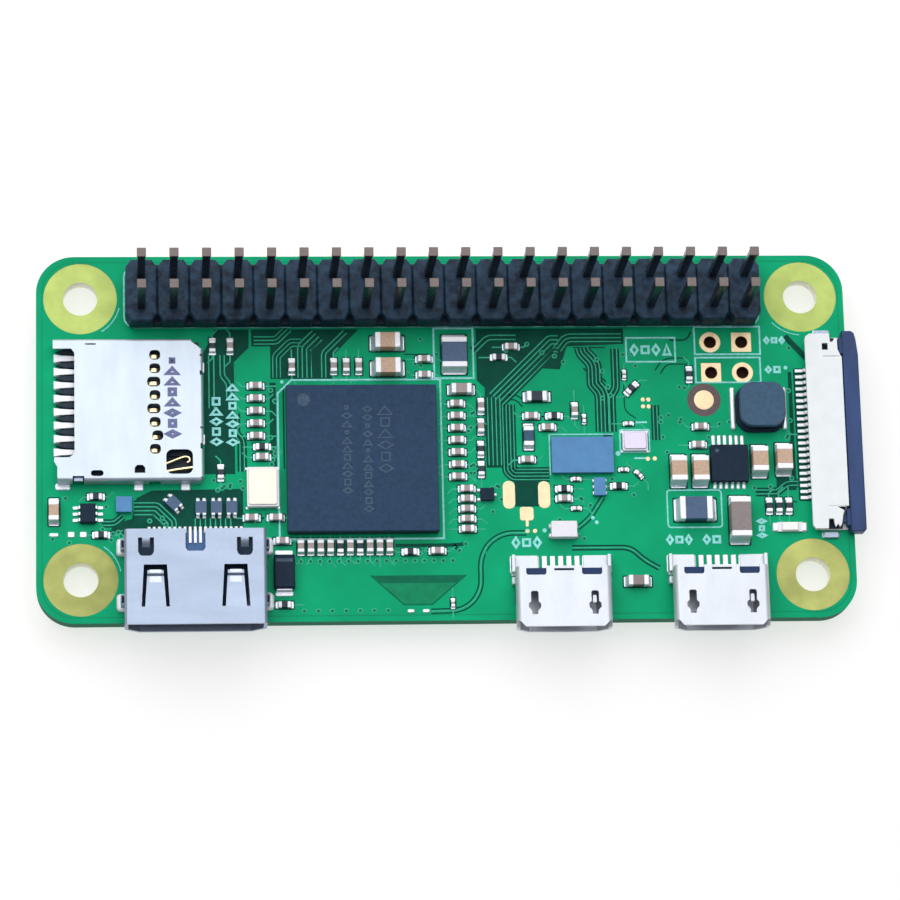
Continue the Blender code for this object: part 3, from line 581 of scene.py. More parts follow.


# Ground left without copper, which shows darker through the lacquer; along the header's south side and the
# card socket's east side these patches also hold painted shade
BARE_AND_SHADED_AREAS = (
    [(-19.2, -3.0), (-16.8, -3.0), (-16.8, 6.2), (-15.6, 7.4), (-15.6, 8.9), (-18.3, 8.9), (-19.2, 7.0)],
    [(-15.4, 7.5), (-13.9, 7.5), (-13.9, 4.8), (-9.0, 4.8), (-9.0, 6.6), (-6.8, 8.9), (-15.4, 8.9)],
    [(-26.8, -7.9), (-16.2, -7.9), (-16.2, -4.2), (-23.4, -4.3), (-24.6, -4.9), (-25.0, -6.6),
     (-26.4, -7.0)],
    [(3.2, -2.6), (4.7, -2.6), (4.7, 2.9), (5.6, 3.7), (7.6, 5.6), (9.3, 5.5), (9.9, 7.4), (14.5, 7.6),
     (14.5, 8.9), (2.6, 8.9), (2.6, 4.6), (3.2, 4.0)],
    [(-14.0, -3.0), (-13.5, -3.0), (-13.5, 4.5), (-14.0, 4.5)],
    [(12.6, -2.9), (13.3, -2.9), (13.3, 0.2), (12.6, 0.2)],
    [(26.4, -4.6), (28.0, -4.6), (28.0, 5.2), (27.7, 5.2), (27.7, -0.4), (26.4, -3.4)],
)

# Tracks that run side by side: (first track's line, how many, pitch, width); a pitch below
# zero adds tracks on the right hand of the line
BUNDLES = (
    ([(-18.8, 6.9), (-18.8, 2.4)], 2, 0.4, 0.16),
    ([(-17.9, 6.8), (-17.9, 5.0), (-17.4, 4.4), (-17.4, 3.2)], 2, 0.34, 0.15),
    ([(-15.2, 7.7), (-13.3, 7.7), (-12.2, 8.8)], 3, 0.3, 0.14),
    ([(-13.7, 4.9), (-13.7, 6.8), (-12.4, 8.1), (-11.4, 8.1)], 3, -0.3, 0.13),
    ([(-11.7, 4.9), (-11.7, 7.6), (-10.5, 8.8)], 4, -0.36, 0.15),
    ([(-9.8, 4.9), (-9.8, 7.0), (-8.0, 8.8)], 2, -0.32, 0.15),
    ([(3.6, 3.5), (5.7, 5.6), (8.4, 8.3), (9.2, 8.3)], 5, -0.34, 0.15),
    ([(2.5, 6.9), (3.6, 8.0), (5.8, 8.0)], 2, 0.36, 0.15),
    ([(9.4, 7.0), (10.0, 7.8), (14.3, 7.8)], 3, 0.32, 0.14),
    ([(3.4, 3.2), (3.4, -2.4)], 4, 0.33, 0.14),
    ([(4.6, 2.6), (4.6, -3.0), (5.2, -3.6), (8.2, -3.6)], 4, 0.28, 0.13),
    ([(10.7, 7.2), (10.8, 6.7), (11.6, 5.8), (11.6, 4.1), (12.2, 3.4), (12.2, 0.3)], 4, 0.3, 0.14),
    ([(13.6, 7.2), (13.6, 3.9), (13.2, 3.4), (13.2, 0.3)], 2, 0.32, 0.14),
    ([(-24.8, -5.3), (-22.9, -5.3), (-21.5, -6.7), (-21.5, -7.5)], 4, -0.32, 0.15),
    ([(-20.0, -6.6), (-20.0, -7.9)], 8, 0.4, 0.15),
    ([(16.7, 2.5), (16.7, -0.4)], 2, 0.3, 0.12),
    ([(24.7, -4.9), (26.5, -4.9), (27.3, -4.2), (28.1, -4.2)], 2, 0.32, 0.14),
    ([(-27.3, -7.1), (-26.3, -7.1), (-25.6, -6.5)], 2, 0.3, 0.15),
    ([(-16.9, 2.0), (-16.9, 0.2), (-16.4, -0.3), (-16.4, -2.8)], 2, 0.34, 0.14),
)

# Cleared lines in the copper: (line, width, sideways places)
CLEARED = (
    ([(-1.5, -14.25), (0.7, -14.2), (1.8, -13.6), (2.5, -12.4), (2.5, -10.1), (3.1, -8.8), (4.4, -7.95),
      (6.2, -7.95)], 0.13, (-0.17, 0.17)),
    ([(9.8, -9.2), (14.5, -9.2), (15.5, -10.2), (16.7, -10.9)], 0.16, (-0.16, 0.16)),
    ([(12.4, -5.1), (11.3, -6.8), (10.3, -7.6)], 0.13, (-0.16, 0.16)),
    ([(-3.2, 6.8), (-1.2, 6.8)], 0.12, (0.0,)),
    ([(27.6, 8.2), (29.3, 6.3)], 0.5, (0.0,)),
    ([(17.4, 5.1), (17.9, 5.9), (19.6, 5.9)], 0.12, (0.0, 0.5)),
    ([(5.4, -9.9), (5.2, -11.0), (5.2, -13.8)], 0.12, (0.0,)),
    ([(28.0, -5.6), (26.6, -5.2), (25.4, -4.9)], 0.12, (0.0,)),
    ([(13.0, 7.3), (10.4, 7.3)], 0.12, (0.0,)),
    ([(14.4, 4.3), (14.4, 2.0), (15.3, 1.4)], 0.12, (0.0,)),
    ([(-4.2, -8.9), (0.4, -8.9), (1.3, -8.8)], 0.3, (0.0,)),
    ([(0.4, -8.9), (0.85, -9.34)], 0.3, (0.0,)),
    ([(11.2, 5.6), (12.6, 4.1)], 0.16, (0.0, 0.5)),
    ([(18.2, 7.9), (19.6, 7.9), (20.0, 8.6)], 0.16, (0.0,)),
    ([(5.0, 3.0), (5.7, 3.0), (6.2, 2.4)], 0.14, (0.0, 0.4)),
    ([(-12.9, -2.6), (-12.9, 4.2)], 0.14, (0.0,)),
)

ANTENNA_CAVITY = [(-6.3, -11.33), (-3.65, -13.75), (-1.38, -13.75), (1.4, -11.33)]


def via_places():
    """Where small plated holes lie under the lacquer."""
    places = [(-11.7 + 0.75 * i, -10.15) for i in range(17)]
    places += [(-11.5 + 1.1 * i, -14.15) for i in range(7)]
    draw = random.Random(4)
    for x0, x1, y0, y1, count in ((-14.0, -13.5, -3.0, 4.4, 9), (1.6, 2.3, -3.6, 2.8, 8),
                                  (27.0, 27.8, -4.0, 5.0, 9), (-19.0, -16.2, -4.4, -3.2, 5),
                                  (3.2, 4.4, -5.4, -3.4, 4), (12.6, 15.5, 1.5, 7.0, 7),
                                  (9.4, 12.6, -9.0, -5.0, 5), (-27.5, -22.5, -8.0, -4.6, 6),
                                  (17.0, 24.5, -1.0, 4.0, 9), (-2.4, -0.2, 5.2, 8.4, 4)):
        places += [(draw.uniform(x0, x1), draw.uniform(y0, y1)) for _ in range(count)]
    places += [(-18.5, -3.5), (-17.8, -3.3), (-17.2, -3.9), (-18.2, -4.3), (-16.4, -3.6), (-22.3, -7.1)]
    places += [(5.0, 7.1), (7.9, 6.9), (8.9, 6.6), (9.6, 6.1), (6.7, 7.6), (12.3, 6.3), (14.4, 6.7)]
    places += [(4.0, -4.1), (3.6, -6.2), (8.9, -6.9), (13.2, -3.6), (14.9, -4.9), (10.0, -5.3)]
    places += [(21.1, -0.2), (24.6, -4.4), (25.9, -4.3), (22.0, 0.9), (18.9, 1.3), (17.7, -1.4),
               (19.3, 3.9)]
    places += [(1.36, -8.8), (0.85, -9.34)]
    places += [(-29.9, -8.5), (-27.0, -5.6), (-26.6, -8.3), (-31.2, -8.2), (-30.2, -4.9), (27.9, 7.2)]
    return places


def build_copper():
    """What the lacquer shows of the copper: cleared areas and lines, tracks and holes, with painted shade
    round the parts and round the antenna cavity.
    """
    cleared = Piece(MASK_DARK)
    for outline in BARE_AND_SHADED_AREAS:
        cleared.slab(outline, ROOT, TOP + GAP_RISE)
    rim = rectangle(-HALF_LENGTH, HALF_LENGTH, -HALF_WIDTH, HALF_WIDTH, CORNER, 12)
    cleared.use(MASK_SUNK).ribbon(offset(rim, 0.47), 0.07, TOP + GAP_RISE, closed=True, edge=0.01)
    cleared.use(MASK_DARK)
    for line, width, places in CLEARED:
        smooth = rounded_path(line, 0.9)
        for sideways in places:
            cleared.ribbon(offset(smooth, sideways, False), width, TOP + GAP_RISE, edge=0.01)
    for line, count, pitch, _ in BUNDLES:
        middle = offset(rounded_path(line, 0.3, 3), pitch * (count - 1) / 2, False)
        cleared.ribbon(middle, abs(pitch) * count + 0.1, TOP + GAP_RISE * 0.8, edge=0.01)
    cleared.box(5.35, 7.3, -5.8, -3.75, ROOT, TOP + GAP_RISE * 1.4, 0.1)
    # A dark patch under and round each part: cleared copper, and painted shade
    for x, y, along, across, turn in CLEARANCE_AND_SHADE_PATCHES:
        cleared.place = stand((x, y, 0.0), turn)
        cleared.slab(block(along, across, 0.12, 2), ROOT, TOP + GAP_RISE * 1.2)
    cleared.place = Matrix.Identity(4)
    cleared.use(MASK_SUNK)
    cleared.slab(ANTENNA_CAVITY, ROOT, TOP + GAP_RISE * 1.2)
    # Painted shadow: a darker border round the antenna cavity, wider along its north edge
    cleared.use(MASK_HOLES_AND_SHADE)
    cleared.ribbon(offset(ANTENNA_CAVITY, 0.07), 0.2, TOP + GAP_RISE * 1.5, closed=True, edge=0.05)
    cleared.slab([(-6.1, -11.35), (-5.45, -11.95), (0.55, -11.95), (1.2, -11.35)], TOP,
                 TOP + GAP_RISE * 1.6)
    cleared.done("cleared_copper", "solder_mask")

    tracks = Piece(MASK_TRACK)
    for line, count, pitch, width in BUNDLES:
        smooth = rounded_path(line, 0.3, 3)
        for i in range(count):
            tracks.ribbon(offset(smooth, pitch * i, False), width, TOP + TRACK_RISE, edge=0.04)
    for line, _, _ in CLEARED[:3]:
        tracks.ribbon(rounded_path(line, 0.9), 0.16, TOP + TRACK_RISE, edge=0.05)
    for x, y in via_places():
        tracks.turned(x, y, [(0.21, ROOT), (0.21, TOP + 0.012), (0.18, TOP + 0.022),
                             (0.1, TOP + 0.02)], 12)
    # The vias' dark centres, where the lacquer lies over each hole
    tracks.use(MASK_HOLES_AND_SHADE)
    for x, y in via_places():
        tracks.turned(x, y, [(0.12, TOP + 0.01), (0.12, TOP + 0.026), (0.04, TOP + 0.024)], 10)
    draw = random.Random(11)
    tracks.use(MASK_TRACK)
    for x, y, along, across, turn in CLEARANCE_AND_SHADE_PATCHES:
        if along > 1.2:
            continue
        for side in (-1, 1):
            run, swing = draw.uniform(0.15, 0.5), draw.choice((-1, 0, 1))
            line = [(side * (along - 0.12), 0.0), (side * (along + run), 0.0),
                    (side * (along + run + 0.4), swing * 0.4)]
            tracks.place = stand((x, y, 0.0), turn)
            tracks.ribbon(line, 0.15, TOP + TRACK_RISE * 0.9)
    tracks.place = Matrix.Identity(4)
    tracks.done("lacquered_tracks", "solder_mask")


def mark(piece, x, y, half_x, half_y, stroke, kind, level, rise):
    """One plain sign in place of a letter: a diamond, a square, a triangle or a short block."""
    u, v = half_x - stroke / 2, half_y - stroke / 2
    side = min(u, v)
    outline = {
        0: [(0, -v), (u, 0), (0, v), (-u, 0)],
        1: block(side, side),
        2: [(-u, -v), (u, -v), (0, v)],
        3: block(side * 0.5, side * 0.5),
    }[kind]
    piece.ribbon([(x + a, y + b) for a, b in outline], stroke * 1.35, level + rise, level - 0.01,
                 closed=True, edge=0.01)


def legend_marks(piece, x, y, count, tall, pitch, along="x", stroke=0.15, level=None, rise=SILK_RISE):
    """A row of plain signs where a real board has a word."""
    level = TOP if level is None else level
    for i in range(count):
        run = i * pitch
        kind = (i * i + i // 3) % 4
        if along == "x":
            mark(piece, x + run, y, pitch * 0.4, tall / 2, stroke, kind, level, rise)
        else:
            mark(piece, x, y + run, tall / 2, pitch * 0.4, stroke, kind, level, rise)


def build_legend():
    """Printed outlines, dots and bars."""
    legend = Piece(SILK)
    boxes = (
        ((-25.5, 25.55, 9.1, 14.2), 0.9, 0.15),
        ((-0.8, 2.35, 4.8, 8.95), 0.0, 0.17),
        ((20.25, 25.55, 6.7, 9.0), 0.0, 0.16),
        ((20.25, 25.5, 4.35, 6.42), 0.0, 0.16),
        ((14.7, 18.65, 6.1, 8.1), 0.0, 0.16),
        ((17.55, 21.9, -7.6, -4.55), 0.25, 0.14),
        ((13.95, 16.3, -1.4, 0.45), 0.1, 0.14),
    )
    for (x0, x1, y0, y1), radius, width in boxes:
        outline = rectangle(x0, x1, y0, y1, radius)
        legend.ribbon(outline, width, TOP + SILK_RISE, closed=True)
    west, east, south, north = -13.35, -0.35, -8.35, 4.7
    legend.ribbon([(west, south), (east, south), (east, north), (west + 1.1, north), (west, north - 1.1)],
                  0.17, TOP + SILK_RISE, closed=True)
    legend.ribbon([(8.27, -3.25), (8.27, 0.1), (13.4, 0.1)], 0.13, TOP + SILK_RISE)
    for (x, y), start in (((-BOLT_X, BOLT_Y), -58), ((BOLT_X, BOLT_Y), 222), ((-BOLT_X, -BOLT_Y), 12)):
        legend.ribbon(arc(x, y, RING_RADIUS + 0.28, start, start + 44), 0.1, TOP + SILK_RISE)
    for x, y, radius in ((13.74, -1.5, 0.2), (7.67, -7.76, 0.17), (11.55, -6.77, 0.15),
                         (11.84, -7.14, 0.15), (-13.0, 4.55, 0.14), (27.55, 5.55, 0.16),
                         (6.3, -7.75, 0.12)):
        legend.dot(x, y, radius, radius * 0.7, SILK_RISE)
    for x, y in ((15.7, 1.07), (15.5, -1.9)):
        legend.pad(x - 0.45, x + 0.45, y - 0.07, y + 0.07, SILK_RISE)
    for row in ((-18.25, -0.35, 5, 0.95, 0.83, "y"), (-16.95, -0.4, 7, 0.95, 0.75, "y"),
                (5.35, -8.75, 3, 0.95, 0.85), (17.65, -8.6, 3, 0.8, 0.75), (20.6, -8.6, 2, 0.8, 0.8),
                (26.1, 7.85, 3, 0.62, 0.62), (26.15, 5.4, 2, 0.62, 0.7), (15.35, 7.1, 4, 0.95, 0.88),
                (25.05, -8.3, 3, 0.75, 0.58, "y")):
        legend_marks(legend, *row)
    legend.done("printed_legend", "solder_mask")


def build_pads():
    """Bare gold-plated pads, the link holes' lands and the sighting mark."""
    pads = Piece(GOLD)
    for x0, x1, y0, y1, radius in ((4.42, 5.4, -5.98, -3.7, 0.45), (7.24, 8.2, -5.96, -3.74, 0.45),
                                   (5.73, 6.83, -6.95, -5.84, 0.22), (6.18, 6.42, -7.45, -6.9, 0.1)):
        pads.box(x0, x1, y0, y1, ROOT, TOP + PAD_RISE, radius, 0.02, 2)
    for x, y in ((15.9, 2.95), (16.35, 2.95), (15.9, 2.38), (16.35, 2.38), (16.13, -1.95), (16.68, -1.93),
                 (6.3, -7.8), (6.9, -7.8)):
        pads.dot(x, y, 0.17, 0.12, PAD_RISE)
    pads.dot(*SIGHTING_MARK, 0.8, 0.76, PAD_RISE, 32)
    pads.done("bare_pads", "pin_gold")

    ground = Piece(BARE_CORE)
    ground.tube(*SIGHTING_MARK, 0.78, 1.36, ROOT, TOP + 0.012, 36)
    ground.done("sighting_mark_ring", "solder_mask")

    for number, (x, y, square) in enumerate(LINK_HOLES, 1):
        land = Piece(GOLD)
        outline = circle(x, y, 0.85, 32)
        if square:
            outline = rectangle(x - 0.8, x + 0.8, y - 0.8, y + 0.8, 0.06)
        hole = circle(x, y, 0.5, 24)
        land.plate(outline, [hole], ROOT, TOP + PAD_RISE)
        land.plate(outline, [hole], -PAD_RISE, 0.01)
        land.use(BORE).tube(x, y, 0.46, 0.51, -PAD_RISE, TOP + PAD_RISE, 24)
        # Half way down, a dark disc closes the hole, so that it looks deep and dark from above: painted
        # shade, as the real hole is open right through
        land.use(PAINTED_HOLE_SHADE).slab(circle(x, y, 0.47, 24), TOP / 2 - 0.1, TOP / 2 + 0.1)
        land.done(f"link_hole_{number}", "pin_gold")


# ---------------------------------------------------------------------------
# Pin header
# ---------------------------------------------------------------------------

def build_header():
    """Twenty joined cells of moulding, each round two pins."""
    low, high = span("header_insulator")
    half_cell = PITCH / 2 - 0.012
    notch, notch_depth = 0.42, 0.62
    depth = (high.y - low.y) / 2
    cell = [(half_cell - notch, -depth), (half_cell, notch_depth - depth),
            (half_cell, depth - notch_depth), (half_cell - notch, depth)]
    cell += [(-x, y) for x, y in reversed(cell)]
    # The cells are black plastic with a painted sheen of reflected sky
    insulator = Piece(HEADER)
    for x in HEADER_COLUMNS:
        outline = [(x + u, HEADER_Y + v) for u, v in cell]
        insulator.slab(outline, low.z + 0.35, high.z, 0.16, 0.05, 3)
    insulator.box(low.x + 0.4, high.x - 0.4, HEADER_Y - 2.0, HEADER_Y + 2.0, low.z + 0.3, high.z - 0.3)
    # Painted shade: the moulding's lower band, where the cells' feet meet, takes the darker socket finish,
    # though the real moulding is one colour
    insulator.use(SOCKET_AND_SHADE)
    insulator.box(low.x + 0.3, high.x - 0.3, low.y + 0.06, high.y - 0.06, low.z + 0.3, low.z + 1.1)
    insulator.use(HEADER)
    for x in HEADER_COLUMNS[::3]:
        insulator.box(x - 0.5, x + 0.5, HEADER_Y - 0.5, HEADER_Y + 0.5, low.z, low.z + 0.4)
    insulator.done("pin_header_insulator", "header_plastic", replaces=["header_insulator"])

    low, high = span("header_pins_front_row")
    half, tip = 0.31, 0.36
    for row, y in ROWS.items():
        for number, x in enumerate(HEADER_COLUMNS, 1):
            pin = Piece(SHADED_PIN_SHAFT)
            shaft = [(low.z, 0.17), (low.z + 0.45, half), (high.z - 0.2, half), (high.z - 0.1, half - 0.1)]
            head = [(high.z - 0.16, half - 0.12), (high.z - 0.12, tip), (high.z - 0.02, tip),
                    (high.z, tip - 0.02)]
            # The same metal, lighter on the tips and painted dark on the shafts: painted shade and
            # reflection
            for finish, sections in ((SHADED_PIN_SHAFT, shaft), (PIN, head)):
                pin.use(finish)
                pin.stack(x, y, [(z, side, side) for z, side in sections], 0.04)
            pin.use(SOLDER)
            cone = [(0.74, 0.0), (0.7, -0.04), (0.52, -0.3), (0.4, -0.75), (0.33, -1.05)]
            pin.turned(x, y, cone, 16)
            pin.turned(x, y, [(0.76, TOP), (0.7, TOP + 0.05), (0.34, TOP + 0.1)], 16)
            stands_for = [f"header_pins_{row}_row"] if number == 1 else []
            pin.done(f"header_pin_{row}_{number}", "pin_gold", replaces=stands_for)


# ---------------------------------------------------------------------------
# Chips
# ---------------------------------------------------------------------------

def ball_row(piece, centre, half_x, half_y, count, low, high):
    """Solder balls along the four edges of a package."""
    radius = (high - low) / 2
    middle = (high + low) / 2
    places = set()
    for i in range(count):
        t = -1 + 2 * i / (count - 1)
        places |= {(round(t * half_x, 3), -half_y), (round(t * half_x, 3), half_y)}
        places |= {(-half_x, round(t * half_y, 3)), (half_x, round(t * half_y, 3))}
    for x, y in sorted(places):
        section = []
        for level in range(5):
            angle = math.pi * (0.12 + 0.76 * level / 4)
            section.append((radius * 1.15 * math.sin(angle), middle - radius * math.cos(angle)))
        piece.turned(centre[0] + x, centre[1] + y, section, 8)


def build_processor():
    """The processor's package, and the memory stacked on it, each on its solder balls."""
    low, high = span("processor_package")
    centre = middle_of(low, high)
    half = (high.x - low.x) / 2
    lower = Piece(SUBSTRATE)
    outline = rectangle(low.x, high.x, low.y, high.y, 0.12)
    lower.slab(outline, low.z + 0.17, low.z + 0.36, 0.02, 0.02, 1)
    lower.use(MOULD)
    lower.slab(offset(outline, 1.5), low.z + 0.36, high.z, 0.06)
    lower.done("processor_body", "mould_black", replaces=["processor_package"])
    for name, inset, count, z0, z1 in (("processor_balls", 0.5, 24, TOP, low.z + 0.17),
                                       ("memory_balls", 0.35, 22, low.z + 0.36, high.z + 0.05)):
        balls = Piece(SOLDER)
        ball_row(balls, centre, half - inset, half - inset, count, z0, z1)
        balls.done(name, "shell_tin")

    low, high = span("memory_package")
    upper = Piece(SUBSTRATE)
    upper.slab(outline, low.z, low.z + 0.13, 0.0, 0.02, 1)
    upper.use(MEMORY)
    upper.slab(offset(outline, 0.01), low.z + 0.13, high.z, 0.07, steps=3)
    upper.done("memory_body", "memory_mould", replaces=["memory_package"])

    marks = Piece(ENGRAVED)
    roof = high.z
    marks.turned(-11.35, 2.75, [(0.5, roof - 0.01), (0.5, roof + 0.003), (0.44, roof + 0.004)], 28)
    for x, tall, start, count, pitch in ((-4.9, 1.25, -2.9, 6, 0.95), (-6.3, 0.75, -6.2, 13, 0.68),
                                         (-7.95, 0.85, -4.7, 11, 0.68)):
        legend_marks(marks, x, start, count, tall, pitch, "y", 0.1, roof, 0.004)
    marks.done("memory_marks", "memory_mould")


def fillet(piece, start, reach, half_width, height, along="x"):
    """Solder drawn up the end of a terminal, hollow towards its pad."""
    rings = []
    for i in range(6):
        t = i / 5
        run = start + reach * t
        level = max(height * (1 - t) ** 2.2, 0.03)
        wide = half_width * (1 - 0.12 * t ** 3)
        ring = [(-wide, 0.0), (-wide * 0.93, level * 0.85), (-wide * 0.8, level), (wide * 0.8, level),
                (wide * 0.93, level * 0.85), (wide, 0.0)]
        if along == "x":
            rings.append([(run, across, up) for across, up in ring])
        else:
            rings.append([(across, run, up) for across, up in ring])
    piece.loft(rings)


def chip_part(name, x, y, size, turn, finish, slot, replaces=(), squat=False):
    """A ceramic chip with wrapped metal ends, soldered down with a fillet at each end."""
    long_side, short_side, rise = size
    half = long_side / 2
    wide = short_side / 2
    cap = min(0.14 * long_side + 0.15, 0.45)
    edge = min(0.05, wide * 0.2)
    lift = 0.03
    piece = Piece(finish, (x, y, TOP), turn)
    piece.slab(block(half - cap * 0.6, wide - 0.015, edge, 2), lift + 0.015, rise - 0.015, edge * 0.6, 0,
               2)
    piece.use(TINNED)
    for side in (-1, 1):
        piece.box(side * (half - cap), side * half, -wide, wide, lift, rise, edge, edge, 2, 2)
    piece.use(SOLDER)
    reach = 0.06 + 0.17 * long_side if long_side < 2.4 else 0.42
    for side in (-1, 1):
        fillet(piece, side * (half - 0.03), side * reach, wide + 0.04, rise * (0.3 if squat else 0.62))
    # Dark patch round the part: copper cleared round its pads, and painted shade
    CLEARANCE_AND_SHADE_PATCHES.append((x, y, half + reach + 0.08, wide + 0.12, turn))
    return piece.done(name, slot, replaces=replaces)


# Dark patches under and round the small parts and the camera leads: partly the copper cleared round their
# pads, partly painted shade round the parts
CLEARANCE_AND_SHADE_PATCHES = []
CAP_SIZE = (1.0, 0.52, 0.5)
RESISTOR_SIZE = (1.0, 0.5, 0.34)
TINY_SIZE = (0.6, 0.3, 0.28)

# Small parts that have no CAD node: (x, y, turn)
SMALL_CAPACITORS = (
    [(-15.1, 4.2 - 1.03 * i, 0) for i in range(5)] + [(-14.65, -1.65, 0)]
    + [(0.9, 2.65 - 1.0 * i, 0) for i in range(7)]
    + [(1.55, -4.35 - 0.82 * i, 0) for i in range(5)]
    + [(-1.6, 6.35, 0), (-1.6, 5.05, 0), (5.4, 7.35, 0), (6.85, 1.6, 0), (8.15, 0.65, 0), (6.45, -2.0, 0),
       (-12.2, 5.8, 90), (-8.85, 5.8, 90), (-7.85, 5.8, 90), (-6.85, 5.8, 90), (2.85, 2.45, 90),
       (2.8, 0.75, 90), (10.35, 2.05, 90), (9.3, -5.2, 0), (20.2, -0.85, 0), (-0.9, -9.4, 0),
       (-13.65, -6.6, 0), (-15.55, -6.6, 0), (-13.15, -8.5, 0), (20.45, 0.65, 0), (-17.1, 7.5, 90)]
    + [(-11.7 + 0.78 * i, -8.98, 90) for i in (0, 1, 2, 3, 5, 7, 8, 9)]
)
SMALL_RESISTORS = (
    [(-14.65, -0.8, 0), (-18.5, 7.5, 90), (4.4, 6.5, 0), (8.7, 1.6, 0), (2.75, -1.1, 90),
     (2.75, -2.75, 90),
     (9.3, -4.4, 0), (13.7, -4.2, 0), (19.7, 5.0, 90), (-27.8, -4.8, 0), (-27.4, -7.9, 0),
     (-13.05, -13.65, 0),
     (-3.05, -9.45, 0), (15.0, 3.85, 45), (-17.95, -2.9, 90)]
    + [(25.72 + 0.79 * i, -5.92, 90) for i in range(3)]
    + [(-11.7 + 0.78 * i, -8.98, 90) for i in (4, 6)]
)
TINY_PARTS = ((11.1, 1.35, 90), (14.45, 5.0, 90), (14.65, 0.95, 0), (14.15, -2.85, 0), (10.3, -3.6, 0),
              (10.25, -6.0, 0), (15.35, -3.25, -45), (0.22, -13.64, 90))


def build_small_parts():
    for number, (x, y, turn) in enumerate(SMALL_CAPACITORS, 1):
        chip_part(f"capacitor_{number}", x, y, CAP_SIZE, turn, BUFF, "ceramic_tan")
    for number, (x, y, turn) in enumerate(SMALL_RESISTORS, 1):
        chip_part(f"resistor_{number}", x, y, RESISTOR_SIZE, turn, RESISTOR, "mould_black", squat=True)
    for number, (x, y, turn) in enumerate(TINY_PARTS, 1):
        chip_part(f"tiny_part_{number}", x, y, TINY_SIZE, turn, BUFF, "ceramic_taupe", squat=True)


def build_larger_passives():
    """The capacitors, beads and chokes that have CAD nodes, at the size the nodes give."""
    looks = {
        "input_capacitor": (TAUPE, "ceramic_taupe"), "usb_capacitor": (TAUPE, "ceramic_taupe"),
        "core_capacitor_3": (BUFF, "ceramic_taupe"), "supply_bead_1": (RESISTOR, "ceramic_slate"),
        "supply_bead_2": (DRUM, "ceramic_slate"), "input_ferrite": (SLATE, "ceramic_slate"),
        "core_choke": (SLATE, "ceramic_slate"),
    }
    regulators = [f"regulator_capacitor_{i}" for i in range(1, 5)]
    for node in regulators + ["core_capacitor_1", "core_capacitor_2", "card_capacitor"]:
        looks[node] = (TAN, "ceramic_tan")
    for node, (finish, slot) in looks.items():
        low, high = span(node)
        size = high - low
        upright = size.y > size.x
        sides = (max(size.x, size.y), min(size.x, size.y), high.z - TOP)
        chip_part(node + "_body", *middle_of(low, high), sides, 90 if upright else 0,
                  finish, slot, replaces=[node])


def packaged(node, finish, lift=0.0, edge=0.05):
    """A piece holding a chip's body, set where its CAD node is. Gives the piece and its box."""
    low, high = span(node)
    piece = Piece(finish)
    piece.box(low.x, high.x, low.y, high.y, low.z + lift, high.z, edge, edge * 0.7, 2, 2)
    return piece, low, high


def build_radio_chip():
    """Bare silicon on a ring of solder balls."""
    radio, low, high = packaged("wireless_chip", WAFER, 0.12, 0.03)
    radio.use(SOLDER)
    ball_row(radio, middle_of(low, high), (high.x - low.x) / 2 - 0.25,
             (high.y - low.y) / 2 - 0.25, 9, TOP, low.z + 0.13)
    radio.done("radio_chip_body", "wafer_blue", replaces=["wireless_chip"])


def build_level_shifter():
    """A speck of silicon on eight solder balls."""
    shifter, low, high = packaged("level_shift_chip", WAFER, 0.1, 0.03)
    shifter.use(SOLDER)
    ball_row(shifter, middle_of(low, high), 0.4, 0.4, 3, TOP, low.z + 0.12)
    shifter.done("level_shift_body", "wafer_blue", replaces=["level_shift_chip"])


def build_power_regulator():
    """A moulded chip with six leads along each side."""
    regulator, low, high = packaged("power_regulator", MOULD, 0.0, 0.06)
    regulator.use(ENGRAVED)
    regulator.turned(low.x + 0.5, high.y - 0.5, [(0.16, high.z - 0.01), (0.16, high.z + 0.003),
                                                 (0.1, high.z + 0.003)], 14)
    for x in (-1.16, -0.7, -0.24, 0.24, 0.7, 1.16):
        middle = (low.x + high.x) / 2 + x
        for side, edge, reach in ((1, high.y, 0.95), (-1, low.y, 0.5)):
            regulator.use(SOLDER)
            regulator.pad(middle - 0.15, middle + 0.15, edge, edge + side * reach, 0.1, 0.1, 0.08, 2, 3)
            regulator.use(TINNED)
            regulator.box(middle - 0.11, middle + 0.11, edge - side * 0.2, edge + side * 0.012,
                          TOP + 0.05, TOP + 0.3)
    regulator.done("power_regulator_body", "mould_black", replaces=["power_regulator"])


def build_radio_balun():
    """A flat chip with three terminals at each end."""
    balun, low, high = packaged("radio_balun", WAFER, 0.0, 0.05)
    balun.use(SOLDER)
    for y in (-0.5, 0.0, 0.5):
        for side, edge in ((-1, low.x), (1, high.x)):
            balun.box(edge - side * 0.12, edge + side * 0.1, (low.y + high.y) / 2 + y - 0.13,
                      (low.y + high.y) / 2 + y + 0.13, TOP, high.z - 0.12, 0.05, 0.08, 2, 2)
    balun.done("radio_balun_body", "wafer_blue", replaces=["radio_balun"])


def build_steering_diode():
    """A moulded chip on three soldered leads."""
    diode, low, high = packaged("steering_diode", MOULD, 0.1, 0.04)
    diode.use(SOLDER)
    for x, y in ((low.x - 0.05, low.y + 0.12), (low.x - 0.05, high.y - 0.12),
                 (high.x + 0.05, (low.y + high.y) / 2)):
        diode.pad(x - 0.2, x + 0.2, y - 0.13, y + 0.13, 0.16, 0.07, 0.1, 2, 2)
    diode.done("steering_diode_body", "mould_black", replaces=["steering_diode"])


